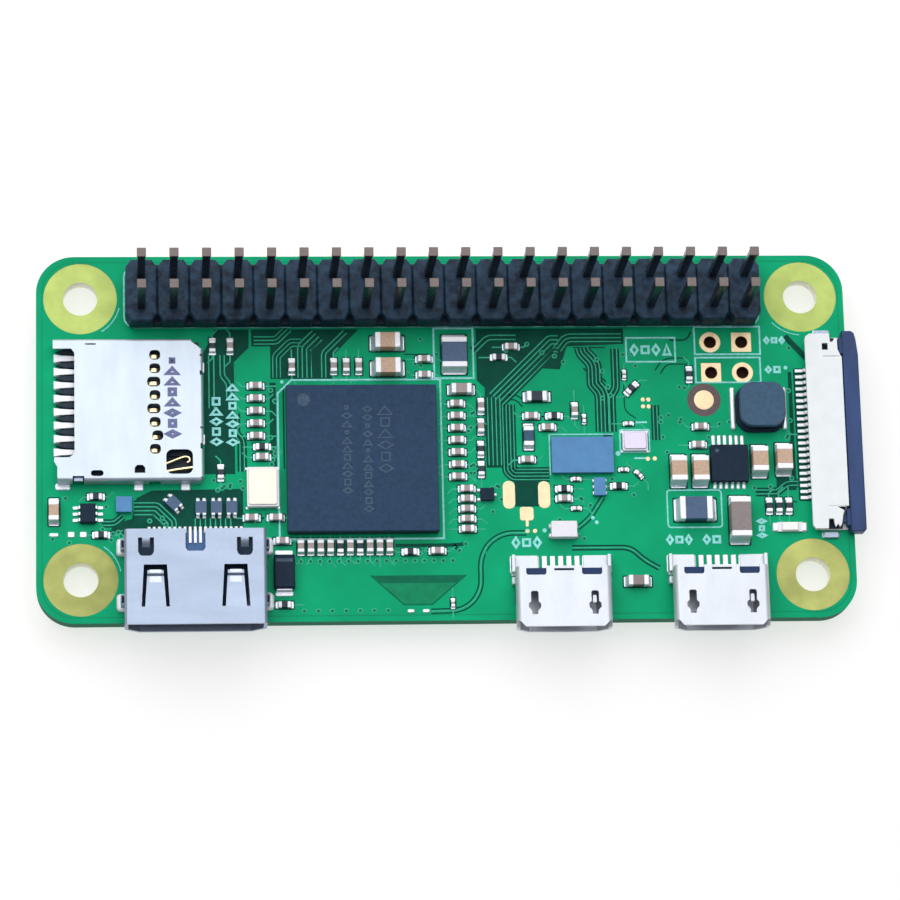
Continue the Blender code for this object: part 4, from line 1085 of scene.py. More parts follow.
def build_antenna_filter():
    """A white chip with two terminals at each end."""
    filter_part, low, high = packaged("antenna_filter", PORCELAIN, 0.03, 0.06)
    filter_part.use(SOLDER)
    for side, edge in ((-1, low.x), (1, high.x)):
        for y in (-0.38, 0.38):
            centre = (low.y + high.y) / 2 + y
            filter_part.pad(edge - side * 0.2, edge + side * 0.16, centre - 0.2, centre + 0.2, 0.3, 0.08,
                            0.16, turns=2)
    filter_part.done("antenna_filter_body", "ceramic_white", replaces=["antenna_filter"])


def build_line_filters():
    """Small ferrite pairs with two terminals at each end."""
    places = {"line_filter_1": 0, "line_filter_2": 0, "line_filter_3": 0, "line_filter_4": 45}
    for node, turn in places.items():
        low, high = span(node)
        centre = (*middle_of(low, high), 0.0)
        piece = Piece(SLATE, centre, turn)
        piece.slab(block(0.45, 0.56, 0.04, 2), low.z, high.z - 0.03, 0.04, 0.0, 2)
        for side in (-1, 1):
            for x in (-0.25, 0.25):
                piece.use(TINNED)
                piece.box(x - 0.14, x + 0.14, side * 0.46, side * 0.65, low.z, high.z, 0.05, 0.05, 2, 2)
                piece.use(SOLDER)
                piece.pad(x - 0.15, x + 0.15, side * 0.62, side * 0.85, 0.18, 0.06, 0.12, turns=2)
        piece.done(node + "_body", "ceramic_slate", replaces=[node])


# The inductor sits this much further south than its CAD node
INDUCTOR_SHIFT = 0.15


def build_power_inductor():
    """A drum core: two flanges with a winding between them, on two soldered feet."""
    low, high = span("power_inductor")
    x, y = middle_of(low, high)
    y -= INDUCTOR_SHIFT
    half, nick = 1.83, 0.62
    corner = [(half - nick, -half), (half, nick - half)]
    outline = []
    for _ in range(4):
        outline += corner
        corner = [(-v, u) for u, v in corner]
    outline.sort(key=lambda p: math.atan2(p[1], p[0]))
    rounded = []
    for i, spot in enumerate(outline):
        before, after = Vector(outline[i - 1]), Vector(outline[(i + 1) % len(outline)])
        spot = Vector(spot)
        start = spot + (before - spot).normalized() * 0.4
        end = spot + (after - spot).normalized() * 0.4
        for t in (0.0, 0.35, 0.65, 1.0):
            rounded.append(swept(start, spot, end, t))
    placed = [(x + u, y + v) for u, v in rounded]
    drum = Piece(MOULD)
    drum.slab(offset(placed, -0.13), low.z + 0.02, low.z + 0.42, 0.06, 0.0, 2)
    drum.use(DRUM)
    drum.slab(circle(x, y, 0.95, 24), low.z + 0.3, high.z - 0.3)
    drum.slab(placed, high.z - 0.5, high.z, 0.1, 0.05, 3)
    drum.done("power_inductor_core", "ceramic_slate", replaces=["power_inductor"])
    winding = Piece(COPPER)
    for layer in range(5):
        middle = low.z + 0.5 + 0.17 * layer
        rings = []
        for i in range(28):
            angle = 2 * math.pi * i / 28
            ring = []
            for k in range(6):
                around = 2 * math.pi * k / 6
                reach = 1.55 + 0.09 * math.cos(around)
                ring.append((x + reach * math.cos(angle), y + reach * math.sin(angle),
                             middle + 0.085 * math.sin(around)))
            rings.append(ring)
        winding.loft(rings, capped=False)
    winding.done("power_inductor_winding", "contact_gold")
    feet = Piece(SOLDER)
    for side in (-1, 1):
        reach = 2.42 if side < 0 else 2.16
        inner, outer = x + side * (reach - 0.4), x + side * reach
        feet.pad(inner, outer, y - 1.72, y + 1.78, 0.3, 0.15, 0.13)
    feet.done("power_inductor_solder", "shell_tin")


def build_crystals():
    """Ceramic trays closed by bright lids."""
    for node, inset in (("main_crystal", 0.12), ("wireless_crystal", 0.1)):
        low, high = span(node)
        tray = Piece(PORCELAIN)
        outline = rectangle(low.x, high.x, low.y, high.y, 0.1, 2)
        tray.slab(outline, low.z, high.z - 0.12)
        tray.use(LID if node == "wireless_crystal" else CAP)
        tray.box(low.x + inset, high.x - inset, low.y + inset, high.y - inset, high.z - 0.14, high.z,
                 0.18, 0.06)
        tray.use(SOLDER)
        for u, v in ((-1, -1), (-1, 1), (1, -1), (1, 1)):
            corner_x = low.x if u < 0 else high.x
            corner_y = low.y if v < 0 else high.y
            tray.pad(corner_x - 0.12, corner_x + 0.12, corner_y - 0.12, corner_y + 0.12, 0.12, 0.05, 0.06,
                     2, 2)
        tray.done(node + "_body", "lid_silver", replaces=[node])


def build_diode():
    """A moulded diode with a folded strip at each end and a pale band at one."""
    low, high = span("protection_diode")
    x, y = middle_of(low, high)
    piece = Piece(MOULD)
    insets = ((TOP + 0.12, 0.06), (TOP + 0.55, 0.0), (high.z - 0.05, 0.07), (high.z, 0.12), (high.z, 0.15))
    piece.stack(x, y, [(z, 0.84 - inset, 1.38 - inset) for z, inset in insets], 0.06)
    piece.use(ENGRAVED)
    piece.box(x - 0.66, x + 0.66, y + 0.72, y + 0.98, high.z - 0.01, high.z + 0.003)
    piece.use(SOLDER)
    for side in (-1, 1):
        run = [(y + side * 1.3, TOP + 0.6), (y + side * 1.46, TOP + 0.58), (y + side * 1.52, TOP + 0.12),
               (y + side * 1.84, TOP + 0.06), (y + side * 1.84, TOP), (y + side * 1.2, TOP),
               (y + side * 1.36, TOP + 0.45)]
        piece.prism(run, x - 0.62, x + 0.62, "x", 0.02)
        piece.pad(x - 0.72, x + 0.72, y + side * 1.4, y + side * 1.86, 0.09, 0.15, 0.07, 2, 3)
    piece.done("protection_diode_body", "mould_black", replaces=["protection_diode"], bevel=0.01)


def build_status_led():
    low, high = span("status_led")
    x, y = middle_of(low, high)
    piece = Piece(PORCELAIN)
    half = (high.y - low.y) / 2
    piece.box(low.x, high.x, y - half, y + half, low.z, low.z + 0.18)
    piece.use(LENS)
    piece.box(x - 0.66, x + 0.66, y - half + 0.03, y + half - 0.03, low.z + 0.16, high.z, 0.08, 0.09,
              turns=3)
    piece.use(SOLDER)
    for side in (-1, 1):
        piece.pad(x + side * 0.85, x + side * 1.4, y - 0.38, y + 0.38, 0.16, 0.12, 0.13, turns=3)
    piece.done("status_led_body", "led_white", replaces=["status_led"])


def build_card_power_switch():
    """A moulded chip with three bent leads along each side."""
    low, high = span("card_power_switch")
    x, y = middle_of(low, high)
    piece = Piece(MOULD)
    insets = ((TOP + 0.06, 0.05), (TOP + 0.32, 0.0), (high.z - 0.03, 0.06), (high.z, 0.1), (high.z, 0.12))
    piece.stack(x, y, [(z, 0.62 - inset, 0.82 - inset) for z, inset in insets], 0.04)
    piece.use(SOLDER)
    for side in (-1, 1):
        for run in (-0.5, 0.0, 0.5):
            section = [(0.5, 0.36), (0.72, 0.36), (0.82, 0.12), (1.18, 0.1), (1.2, 0.02), (0.74, 0.02),
                       (0.66, 0.26), (0.5, 0.26)]
            outline = [(x + side * u, TOP + v) for u, v in section]
            piece.prism(outline, y + run - 0.13, y + run + 0.13, "y", 0.02)
    piece.done("card_power_switch_body", "mould_black", replaces=["card_power_switch"])


def build_spare_pads():
    """Tinned pads with nothing fitted to them."""
    spare = Piece(SOLDER)
    for px, py, across in ((-29.75, -7.85, 0.24), (-28.8, -7.85, 0.24), (-3.1, -14.22, 0.15),
                           (-1.9, -14.22, 0.15)):
        spare.pad(px - 0.28, px + 0.28, py - across, py + across, 0.1, 0.1, 0.08, turns=3)
    spare.pad(-31.45, -30.75, -8.0, -7.72, 0.08, 0.06, 0.05, 2)
    spare.done("spare_pads", "shell_tin")


# ---------------------------------------------------------------------------
# Folded sheet metal
# ---------------------------------------------------------------------------

class Fold:
    """Cross-section of a folded sheet, measured along its outer face from the middle outwards.

    A part is a length to go straight on, or a (radius, degrees) bend, above zero downwards.
    """

    def __init__(self, *parts):
        self.parts = []
        self.marks = []
        start = 0.0
        across, up, slope = 0.0, 0.0, 0.0
        for part in parts:
            if isinstance(part, tuple):
                radius, turn = part[0], math.radians(part[1])
                length = radius * abs(turn)
                steps = max(2, round(abs(part[1]) / 18))
                self.marks += [start + length * i / steps for i in range(steps + 1)]
            else:
                radius, turn, length = 0.0, 0.0, part
            self.parts.append((start, length, across, up, slope, radius, turn))
            start += length
            across, up, slope = self.at(start, self.parts[-1])
        self.length = start
        self.marks += [mark + nudge for mark in self.marks for nudge in (-0.03, 0.03)]

    @staticmethod
    def at(distance, part):
        """Place and slope at a distance, within one of the fold's parts."""
        start, _, across, up, slope, radius, turn = part
        run = distance - start
        if turn == 0.0:
            return across + run * math.cos(slope), up - run * math.sin(slope), slope
        sign = 1 if turn > 0 else -1
        centre = (across - sign * radius * math.sin(slope), up - sign * radius * math.cos(slope))
        ahead = slope + sign * run / radius
        return (centre[0] + sign * radius * math.sin(ahead), centre[1] + sign * radius * math.cos(ahead),
                ahead)

    def place(self, distance):
        """(across, up, slope) of the outer face at a distance from the middle, on either side."""
        side = -1 if distance < 0 else 1
        reach = abs(distance)
        chosen = self.parts[0]
        for part in self.parts:
            if reach >= part[0] - 1e-9:
                chosen = part
        across, up, slope = self.at(reach, chosen)
        return side * across, up, side * slope


def folded(piece, outline, holes, fold, thickness, point, cuts=(), bend=None):
    """Cut a sheet to a flat pattern of (round the fold, along it) points, and fold it.

    point turns (across, along, up) into a place. bend gives how far a spot is pushed inwards.
    """
    flat = bmesh.new()
    edges = []
    for loop in [outline] + list(holes):
        row = [flat.verts.new((u, v, 0.0)) for u, v in loop]
        edges += [flat.edges.new((row[i - 1], row[i])) for i in range(len(row))]
    bmesh.ops.triangle_fill(flat, use_beauty=True, use_dissolve=False, edges=edges)
    for mark in sorted({round(side * mark, 4) for mark in fold.marks for side in (-1, 1)}):
        bmesh.ops.bisect_plane(flat, geom=flat.verts[:] + flat.edges[:] + flat.faces[:], dist=1e-5,
                               plane_co=(mark, 0, 0), plane_no=(1, 0, 0))
    for cut in cuts:
        bmesh.ops.bisect_plane(flat, geom=flat.verts[:] + flat.edges[:] + flat.faces[:], dist=1e-5,
                               plane_co=(0, cut, 0), plane_no=(0, 1, 0))
    outer, inner = {}, {}
    for vert in flat.verts:
        u, v = vert.co.x, vert.co.y
        across, up, slope = fold.place(u)
        sink = bend(u, v) if bend else 0.0
        for layer, depth in ((outer, sink), (inner, sink + thickness)):
            spot = (across - depth * math.sin(slope), v, up - depth * math.cos(slope))
            layer[vert] = piece.vert(point(*spot))
    for face in flat.faces:
        piece.face([outer[vert] for vert in face.verts])
        piece.face([inner[vert] for vert in reversed(face.verts)])
    for edge in flat.edges:
        if len(edge.link_faces) == 1:
            a, b = edge.verts
            piece.face((outer[a], outer[b], inner[b], inner[a]))
    flat.free()


def keyhole(x, y):
    """Outline of a slot that is wide at its front half."""
    right = [(0.2, 0.72), (0.3, 0.6), (0.3, -0.12), (0.48, -0.28), (0.48, -0.6), (0.26, -0.84),
             (0.22, -1.16)]
    left = [(-u, v) for u, v in reversed(right)]
    return [(x + u, y + v) for u, v in right + left]


def finger_slot(x, y, half_top, half_root, length, width, gap):
    """Outline of the cut round a spring finger: a cross bar and two legs."""
    outer = [(-half_root, -length), (-half_top, 0.0), (half_top, 0.0), (half_root, -length)]
    inner = [(half_root - width, -length), (half_top - width, -gap), (width - half_top, -gap),
             (width - half_root, -length)]
    return [(x + u, y + v) for u, v in outer + inner]


# ---------------------------------------------------------------------------
# Memory card socket
# ---------------------------------------------------------------------------

# Shells of the plug sockets: half width, height of the slanting corners, thickness of the sheet
VIDEO_SHELL = (5.55, 1.1, 0.28)
USB_SHELL = (3.75, 0.95, 0.25)
USB_FLANGE = 1.32

# Rows of contacts in the plug sockets: how many, and how far apart
VIDEO_CONTACTS = (19, 0.4)
USB_CONTACTS = (5, 0.65)
CAMERA_CONTACTS = (22, -0.5)

CARD_ROWS = [6.45 - 1.1 * i for i in range(8)]
CARD_RECESS = (-1.9, 7.0)


def ring_of(x, y, half_x, half_y, radius, steps=3):
    """Rounded outline about a point."""
    return [(x + u, y + v) for u, v in block(half_x, half_y, radius, steps)]


def build_card_cover():
    """Folded cover: a roof with windows, walls on three sides and feet along the front."""
    low, high = span("card_socket_shell")
    sheet = 0.2
    middle = (low.y + high.y) / 2
    half = (high.y - low.y) / 2
    bend_radius = 0.26
    drop = high.z - low.z - bend_radius
    fold = Fold(half - bend_radius, (bend_radius, 90), drop)
    roof = half - bend_radius

    def flat(points):
        return [(y - middle, x) for x, y in points]

    recess_low, recess_high = CARD_RECESS
    west, east = low.x, high.x - 0.2
    outline = flat([(west, recess_high), (west, middle + roof)])
    outline += [(fold.length, west), (fold.length, -29.9), (roof + 0.75, -29.9), (roof + 0.75, -28.4),
                (fold.length, -28.4), (fold.length, east - 0.8), (roof, east - 0.65)]
    outline += flat([(east, middle + roof - 0.5), (east, middle - roof)])
    outline += [(-roof - 0.25, east + 0.1), (-fold.length, east + 0.1), (-fold.length, -22.7),
                (-roof - 0.75, -22.7), (-roof - 0.75, -23.6), (-fold.length, -23.6),
                (-fold.length, -28.7), (-roof + 0.12, -28.7), (-roof + 0.12, -29.6),
                (-fold.length, -29.6), (-fold.length, west + 0.35), (-roof, west + 0.35)]
    outline += flat([(west + 0.35, recess_low - 0.75), (west + 0.1, recess_low - 0.35),
                     (west + 0.1, recess_low), (-29.85, recess_low), (-29.45, recess_low + 0.3),
                     (-29.45, recess_high - 0.35), (-29.7, recess_high)])
    holes = []
    for number, y in enumerate(CARD_ROWS):
        reach = 0.52 if number in (2, 4) else 0.43
        x = -23.1 + (0.43 - reach) + (0.2 if number == 6 else 0.0)
        holes.append(flat(ring_of(x, y, reach, 0.4, 0.3)))
    holes.append(flat(ring_of(-21.2, -2.3, 1.05, 1.0, 0.5, 5)))
    holes.append(flat(ring_of(-27.68, -3.2, 0.5, 0.24, 0.23)))
    holes.append(flat([(-24.75, -3.2), (-23.9, -3.2), (-23.92, -2.75), (-24.12, -2.55), (-24.53, -2.55),
                       (-24.73, -2.75)]))
    holes.append(flat(rectangle(-28.6, -27.75, 7.3, 7.42)))

    cover = Piece(SHEET)
    folded(cover, outline, holes, fold, sheet, lambda across, along,
           up: (along, middle + across, high.z + up))
    flap = Fold(0.02, (0.22, 90), high.z - low.z - 0.22)
    tabs = ((-5.0, -1.25), (-0.8, 0.4), (0.55, 4.8), (5.15, 6.35), (6.5, middle + roof - 0.55))
    for number, (y0, y1) in enumerate(tabs):
        y0 = max(y0, middle - roof)
        length = flap.length if number % 2 else flap.length - 0.25
        strip = [(0.0, y0), (length, y0), (length, y1), (0.0, y1)]
        folded(cover, strip, [], flap, sheet, lambda across, along,
               up: (east + across, along, high.z + up))
    cover.use(SOLDER)
    for x0, x1 in ((-24.8, -24.05), (-21.1, -20.35)):
        cover.pad(x0, x1, low.y - 0.55, low.y + 0.05, 0.2, 0.12, 0.1, 2)
    cover.pad(low.x + 0.15, low.x + 1.35, low.y - 0.45, low.y + 0.1, 0.14, 0.15, 0.1, 2)
    for x0, x1, y0, y1 in ((high.x - 0.1, high.x + 0.2, 5.3, 6.2),
                           (high.x - 0.1, high.x + 0.2, -0.65, 0.25),
                           (low.x + 1.0, low.x + 2.3, high.y - 0.05, high.y + 0.2)):
        cover.pad(x0, x1, y0, y1, 0.12, 0.12, 0.08, 2)
    cover.use(SHEET_COOL)
    cover.box(-29.52, -28.78, low.y + 0.02, low.y + 0.34, high.z - 0.62, high.z - 0.3, edge=0.05)
    cover.done("card_cover", "shell_tin", replaces=["card_socket_shell"])

    stamp = Piece(INKED)
    legend_marks(stamp, -21.73, -0.05, 8, 1.1, 0.86, "y", 0.24, high.z, 0.004)
    stamp.done("card_cover_marks", "shell_tin")


def build_card_base():
    """Plastic floor with a channel under each contact, and a stop at its far end."""
    low, high = span("card_socket_base")
    base = Piece(SOCKET_AND_SHADE)
    floor = TOP + 0.42
    front = low.x - 0.55
    ledges = [CARD_ROWS[0] + 1.1] + CARD_ROWS + [CARD_ROWS[-1] - 1.1]
    for above, below in zip(ledges, ledges[1:]):
        y0 = max(below + 0.31, low.y)
        y1 = min(above - 0.31, high.y)
        nose = [(front, (y0 + y1) / 2), (front + 0.75, y0), (low.x + 8.2, y0), (low.x + 8.2, y1),
                (front + 0.75, y1)]
        base.slab(nose, TOP + 0.02, floor, 0.06, 0.0, 2)
    base.box(low.x, low.x + 8.2, low.y, high.y, TOP + 0.02, TOP + 0.14)
    base.box(low.x + 8.2, high.x, low.y, -3.4, low.z, floor)
    base.box(low.x + 8.2, high.x, -1.6, high.y, low.z, floor)
    base.box(low.x + 8.2, high.x, -3.4, -1.6, TOP + 0.02, TOP + 0.16)
    base.box(high.x - 0.55, high.x, -1.6, high.y, floor - 0.05, high.z)
    base.box(low.x, low.x + 8.2, low.y, CARD_ROWS[-1] - 0.8, low.z, floor)
    base.done("card_floor", "socket_plastic", replaces=["card_socket_base"])


def build_card_contacts():
    """Eight sprung strips, each with a soldered tail and a crowned tip."""
    for number, y in enumerate(CARD_ROWS, 1):
        low, high = span(f"card_contact_{number}")
        contact = Piece(CONTACT)
        tip = -23.1
        top = high.z
        line = [(-30.1, TOP + 0.34), (-29.4, TOP + 0.3), (tip - 3.4, TOP + 0.28), (tip - 0.5, top - 0.06),
                (tip - 0.25, top), (tip, top + 0.02), (tip + 0.2, top - 0.03), (tip + 0.5, top - 0.22)]
        section = line + [(x, z - 0.12) for x, z in reversed(line)]
        contact.prism(section, y - 0.17, y + 0.17, "y", 0.03)
        contact.use(TINNED)
        tail = [(low.x, 0.34), (low.x + 0.5, 0.26), (-29.35, 0.2), (-29.35, -0.2), (low.x + 0.5, -0.26),
                (low.x, -0.34)]
        contact.slab([(x, y - v) for x, v in tail], TOP + 0.3, TOP + 0.44, 0.05, 0.0, 2)
        contact.use(SOLDER)
        contact.pad(low.x - 0.02, low.x + 0.5, y - 0.36, y + 0.36, 0.36, 0.1, 0.14)
        contact.done(f"card_spring_{number}", "contact_gold", replaces=[f"card_contact_{number}"])


def build_card_detect():
    """The card sensing switch: an arm with a hooked end, and a fixed blade."""
    low, high = span("card_detect_spring")
    arm = Piece(CONTACT)
    line = rounded_path([(-22.6, -2.45), (-21.4, -1.95), (-20.75, -1.72), (-20.42, -1.8), (-20.38, -2.1),
                         (-20.6, -2.22)], 0.25, 4)
    arm.ribbon(line, 0.15, high.z, low.z, edge=0.03)
    arm.done("card_sense_arm", "contact_gold", "detect_spring", ["card_detect_spring"])
    low, high = span("card_detect_blade")
    blade = Piece(CONTACT)
    blade.ribbon([(-22.6, -3.0), (-21.4, -2.78), (-20.1, -2.6)], 0.18, high.z, low.z, edge=0.03)
    blade.use(SOCKET_AND_SHADE)
    blade.box(-22.75, -22.3, -3.15, -2.2, TOP + 0.14, TOP + 0.48, edge=0.05)
    blade.done("card_sense_blade", "contact_gold", replaces=["card_detect_blade"])


# ---------------------------------------------------------------------------
# Plug sockets
# ---------------------------------------------------------------------------

def socket_fold(half, height, keel, shoulder, crease):
    """Fold of a plug socket's shell, from the middle of its roof to the seam below."""
    saved = crease * math.tan(math.radians(22.5))
    return Fold(half - shoulder, (shoulder, 90), height - shoulder - keel - saved, (crease, 45),
                keel * math.sqrt(2) - 2 * saved, (crease, 45), half - keel - saved + 0.005)


def keel_outline(x, half, low, high, keel, inset):
    """Cross-section inside a plug socket's shell."""
    shrink = inset * (2 - math.sqrt(2))
    half -= inset
    keel -= shrink
    right = [(half - keel, low + inset), (half, low + inset + keel), (half, high - inset)]
    return [(x + u, z) for u, z in right + [(-u, z) for u, z in reversed(right)]]


def build_video_shell():
    """Mini video socket's shell, folded from sheet, with sprung fingers and soldered feet."""
    low, high = span("video_socket_shell")
    x = (low.x + high.x) / 2
    half, keel, sheet = VIDEO_SHELL
    fold = socket_fold(half, high.z - low.z, keel, 0.3, 0.3)
    front, rear = low.y, high.y
    notch = [(0.78, rear), (0.78, rear - 1.55), (0.6, rear - 1.8), (-0.6, rear - 1.8),
             (-0.78, rear - 1.55), (-0.78, rear)]
    outline = [(-fold.length, front), (fold.length, front),
               (fold.length, rear)] + notch + [(-fold.length, rear)]
    holes = []
    for side in (-1, 1):
        holes.append(finger_slot(side * 3.13, -11.02, 0.9, 1.1, 3.36, 0.28, 0.42))
        small = [(0.62, -8.86), (0.3, -8.86), (0.3, -9.62), (-0.3, -9.62), (-0.3, -8.86), (-0.62, -8.86),
                 (-0.62, -9.95), (-0.52, -10.2), (-0.34, -10.32), (0.34, -10.32), (0.52, -10.2),
                 (0.62, -9.95)]
        holes.append([(side * 3.85 + u, v) for u, v in small])

    def sink(u, v):
        """A finger dips towards its tip, and a long one kicks up again near its end."""
        if abs(u) >= half - 0.4:
            return 0.0
        if -14.35 < v < -11.4 and abs(abs(u) - 3.13) <= 0.64 + (-11.0 - v) / 3.4 * 0.2:
            dip = 0.42 * (v + 14.4) / 2.55
            return dip if v < -11.84 else (0.42 - (v + 11.85) * 1.6 if v < -11.69 else 0.17)
        if -9.65 < v < -8.86 and abs(abs(u) - 3.85) <= 0.31:
            return 0.6 * (-8.86 - v) ** 2
        return 0.0

    cuts = [-14.35, -13.8, -13.0, -12.4, -11.85, -11.7, -11.6, -9.5, -9.3, -9.1, -8.87]
    shell = Piece(SHEET_COOL)
    folded(shell, outline, holes, fold, sheet, lambda across, along, up: (x + across, along, high.z + up),
           cuts, sink)
    for side in (-1, 1):
        wall = x + side * half
        for y in (-8.95, -13.4):
            shell.use(SHEET_COOL)
            shell.box(wall - side * 0.1, wall + side * 0.3, y - 0.45, y + 0.45, low.z, TOP + 1.3, 0.1,
                      0.12)
            shell.use(TINNED)
            shell.pad(wall - side * 0.3, wall + side * 0.62, y - 0.72, y + 0.72, 0.42, 0.34, 0.24, 4, 5)
            shell.use(MOULD)
            shell.box(wall + side * 0.02, wall + side * 0.22, y - 0.3, y + 0.34, TOP + 1.2, TOP + 1.315,
                      0.08, 0.02)
        # Painted highlight: strips of brighter sheet that show through each finger near its end
        shell.use(BRIGHT_SHEET_AND_HIGHLIGHT)
        for y0, y1, rise in ((-12.45, -11.9, 0.335), (-11.65, -11.4, 0.155)):
            shell.box(x + side * 3.13 - 0.46, x + side * 3.13 + 0.46, y0, y1, high.z - rise - 0.1,
                      high.z - rise, 0.06)
    shell.done("video_shell", "shell_tin", replaces=["video_socket_shell"])


def build_video_contact_block():
    """Moulding in the back of the video socket, with a tongue that carries the contacts."""
    low, high = span("video_socket_shell")
    x = middle_of(low, high)[0]
    half, keel, sheet = VIDEO_SHELL
    rear = high.y
    block_low = span("video_socket_insulator")[0]
    insulator = Piece(INSULATOR)
    section = keel_outline(x, half, low.z, high.z, keel, sheet + 0.06)
    insulator.prism(section, rear - 2.0, rear - 0.1, "y", 0.05)
    insulator.use(MOULD)
    insulator.prism([(x - 4.1, TOP + 1.45), (x + 4.1, TOP + 1.45), (x + 4.1, TOP + 2.05),
                     (x - 4.1, TOP + 2.05)], block_low.y, rear - 1.8, "y", 0.12)
    for side in (-1, 1):
        insulator.box(x + side * 3.85 - 0.68, x + side * 3.85 + 0.68, -10.35, -8.8, high.z - sheet - 0.3,
                      high.z - sheet - 0.03)
    insulator.use(CONTACT)
    for run in evenly(x, *VIDEO_CONTACTS):
        insulator.box(run - 0.12, run + 0.12, block_low.y + 0.35, rear - 2.1, TOP + 1.42, TOP + 1.47)
    insulator.done("video_contact_block", "insulator_blue", replaces=["video_socket_insulator"])


def build_video_leads():
    low, high = span("video_socket_shell")
    x = middle_of(low, high)[0]
    rear = high.y
    leads = Piece(TINNED)
    shelf = high.z - VIDEO_SHELL[2]
    for run in evenly(x, *VIDEO_CONTACTS):
        inside = rear - 1.1 if abs(run - x) < 0.7 else rear - 0.3
        section = [(inside, shelf + 0.04), (rear + 0.14, shelf + 0.04), (rear + 0.22, shelf - 0.06),
                   (rear + 0.26, TOP + 0.14), (rear + 0.6, TOP + 0.12), (rear + 0.6, TOP),
                   (rear + 0.14, TOP), (rear + 0.1, shelf - 0.12), (inside, shelf - 0.12)]
        leads.prism(section, run - 0.11, run + 0.11, "x", 0.02)
    leads.done("video_leads", "shell_tin")


def build_usb_shell(node, name):
    """Micro plug socket's shell, folded from sheet, with its flange, legs and solder."""
    low, high = span(node + "_shell")
    x = (low.x + high.x) / 2
    half, keel, sheet = USB_SHELL
    fold = socket_fold(half, high.z - low.z, keel, 0.42, 0.26)
    front, rear, flange_rear = low.y, high.y - USB_FLANGE, high.y
    roof = half - 0.42
    corner = [(roof - 0.22, front), (roof + 0.2, front + 0.42), (roof + 0.75, front + 0.5),
              (roof + 1.0, front + 0.05)]
    notch = [(3.0, rear), (3.0, rear - 0.58), (2.88, rear - 0.72), (1.52, rear - 0.72), (1.4, rear - 0.58),
             (1.4, rear)]
    outline = [(-u, v) for u, v in reversed(corner)] + corner
    outline += [(fold.length, front), (fold.length, rear)] + notch
    outline += [(-u, v) for u, v in reversed(notch)] + [(-fold.length, rear), (-fold.length, front)]
    holes = [rectangle(-0.78, 0.78, -11.6, -11.42)]
    for side in (-1, 1):
        holes.append(keyhole(side * 2.38, -13.95))
    shell = Piece(BRIGHT_SHEET_AND_HIGHLIGHT)
    folded(shell, outline, holes, fold, sheet, lambda across, along, up: (x + across, along, high.z + up))
    for side in (-1, 1):
        shell.box(x + side * 1.8, x + side * 3.95, rear - 0.3, flange_rear, low.z, low.z + sheet, 0.06,
                  0.05, 2)
        for y0, y1, rise in ((-11.35, flange_rear, 0.9), (-12.26, -11.68, 0.7)):
            shell.box(x + side * 3.65, x + side * 3.95, y0, y1, low.z, TOP + rise, 0.08, 0.07, 2)
    shell.box(x + 2.21, x + 2.55, -14.15, -13.5, high.z - 0.47, high.z - 0.32, 0.1, 0.05, 2)
    shell.use(SOLDER)
    for side in (-1, 1):
        shell.pad(x + side * 1.7, x + side * 4.05, rear - 0.1, flange_rear + 0.08, 0.1, 0.2, 0.07, 2)
    shell.done(name + "_shell", "shell_tin", replaces=[node + "_shell"])


def build_usb_contact_block(node, name):
    """Moulding in the back of a micro socket, with a tongue that carries five contacts."""
    low, high = span(node + "_shell")
    x = middle_of(low, high)[0]
    half, keel, sheet = USB_SHELL
    front, rear = low.y, high.y - USB_FLANGE
    insulator = Piece(INSULATOR_DARK)
    insulator.prism(keel_outline(x, half, low.z, high.z, keel, sheet + 0.06), rear - 1.6, rear - 0.1, "y",
                    0.04)
    tongue = [(x - 1.75, TOP + 1.25), (x + 1.75, TOP + 1.25), (x + 1.75, TOP + 1.8), (x - 1.75, TOP + 1.8)]
    insulator.prism(tongue, front + 0.7, rear - 1.4, "y", 0.1)
    insulator.use(CONTACT)
    for run in evenly(x, *USB_CONTACTS):
        insulator.box(run - 0.17, run + 0.17, front + 1.0, rear - 1.5, TOP + 1.21, TOP + 1.26)
    insulator.done(name + "_contact_block", "insulator_blue", replaces=[node + "_insulator"])


def build_usb_leads(node, name):
    low, high = span(node + "_shell")
    x = middle_of(low, high)[0]
    rear, flange_rear = high.y - USB_FLANGE, high.y
    leads = Piece(TINNED)
    for run in evenly(x, *USB_CONTACTS):
        section = [(rear - 0.25, TOP + 0.95), (rear + 0.1, TOP + 0.9), (rear + 0.34, TOP + 0.24),
                   (flange_rear, TOP + 0.18), (flange_rear + 0.02, TOP + 0.02), (rear + 0.18, TOP + 0.02),
                   (rear - 0.02, TOP + 0.75), (rear - 0.25, TOP + 0.8)]
        leads.prism(section, run - 0.2, run + 0.2, "x", 0.03)
    leads.done(name + "_leads", "shell_tin")


# ---------------------------------------------------------------------------
# Camera connector
# ---------------------------------------------------------------------------

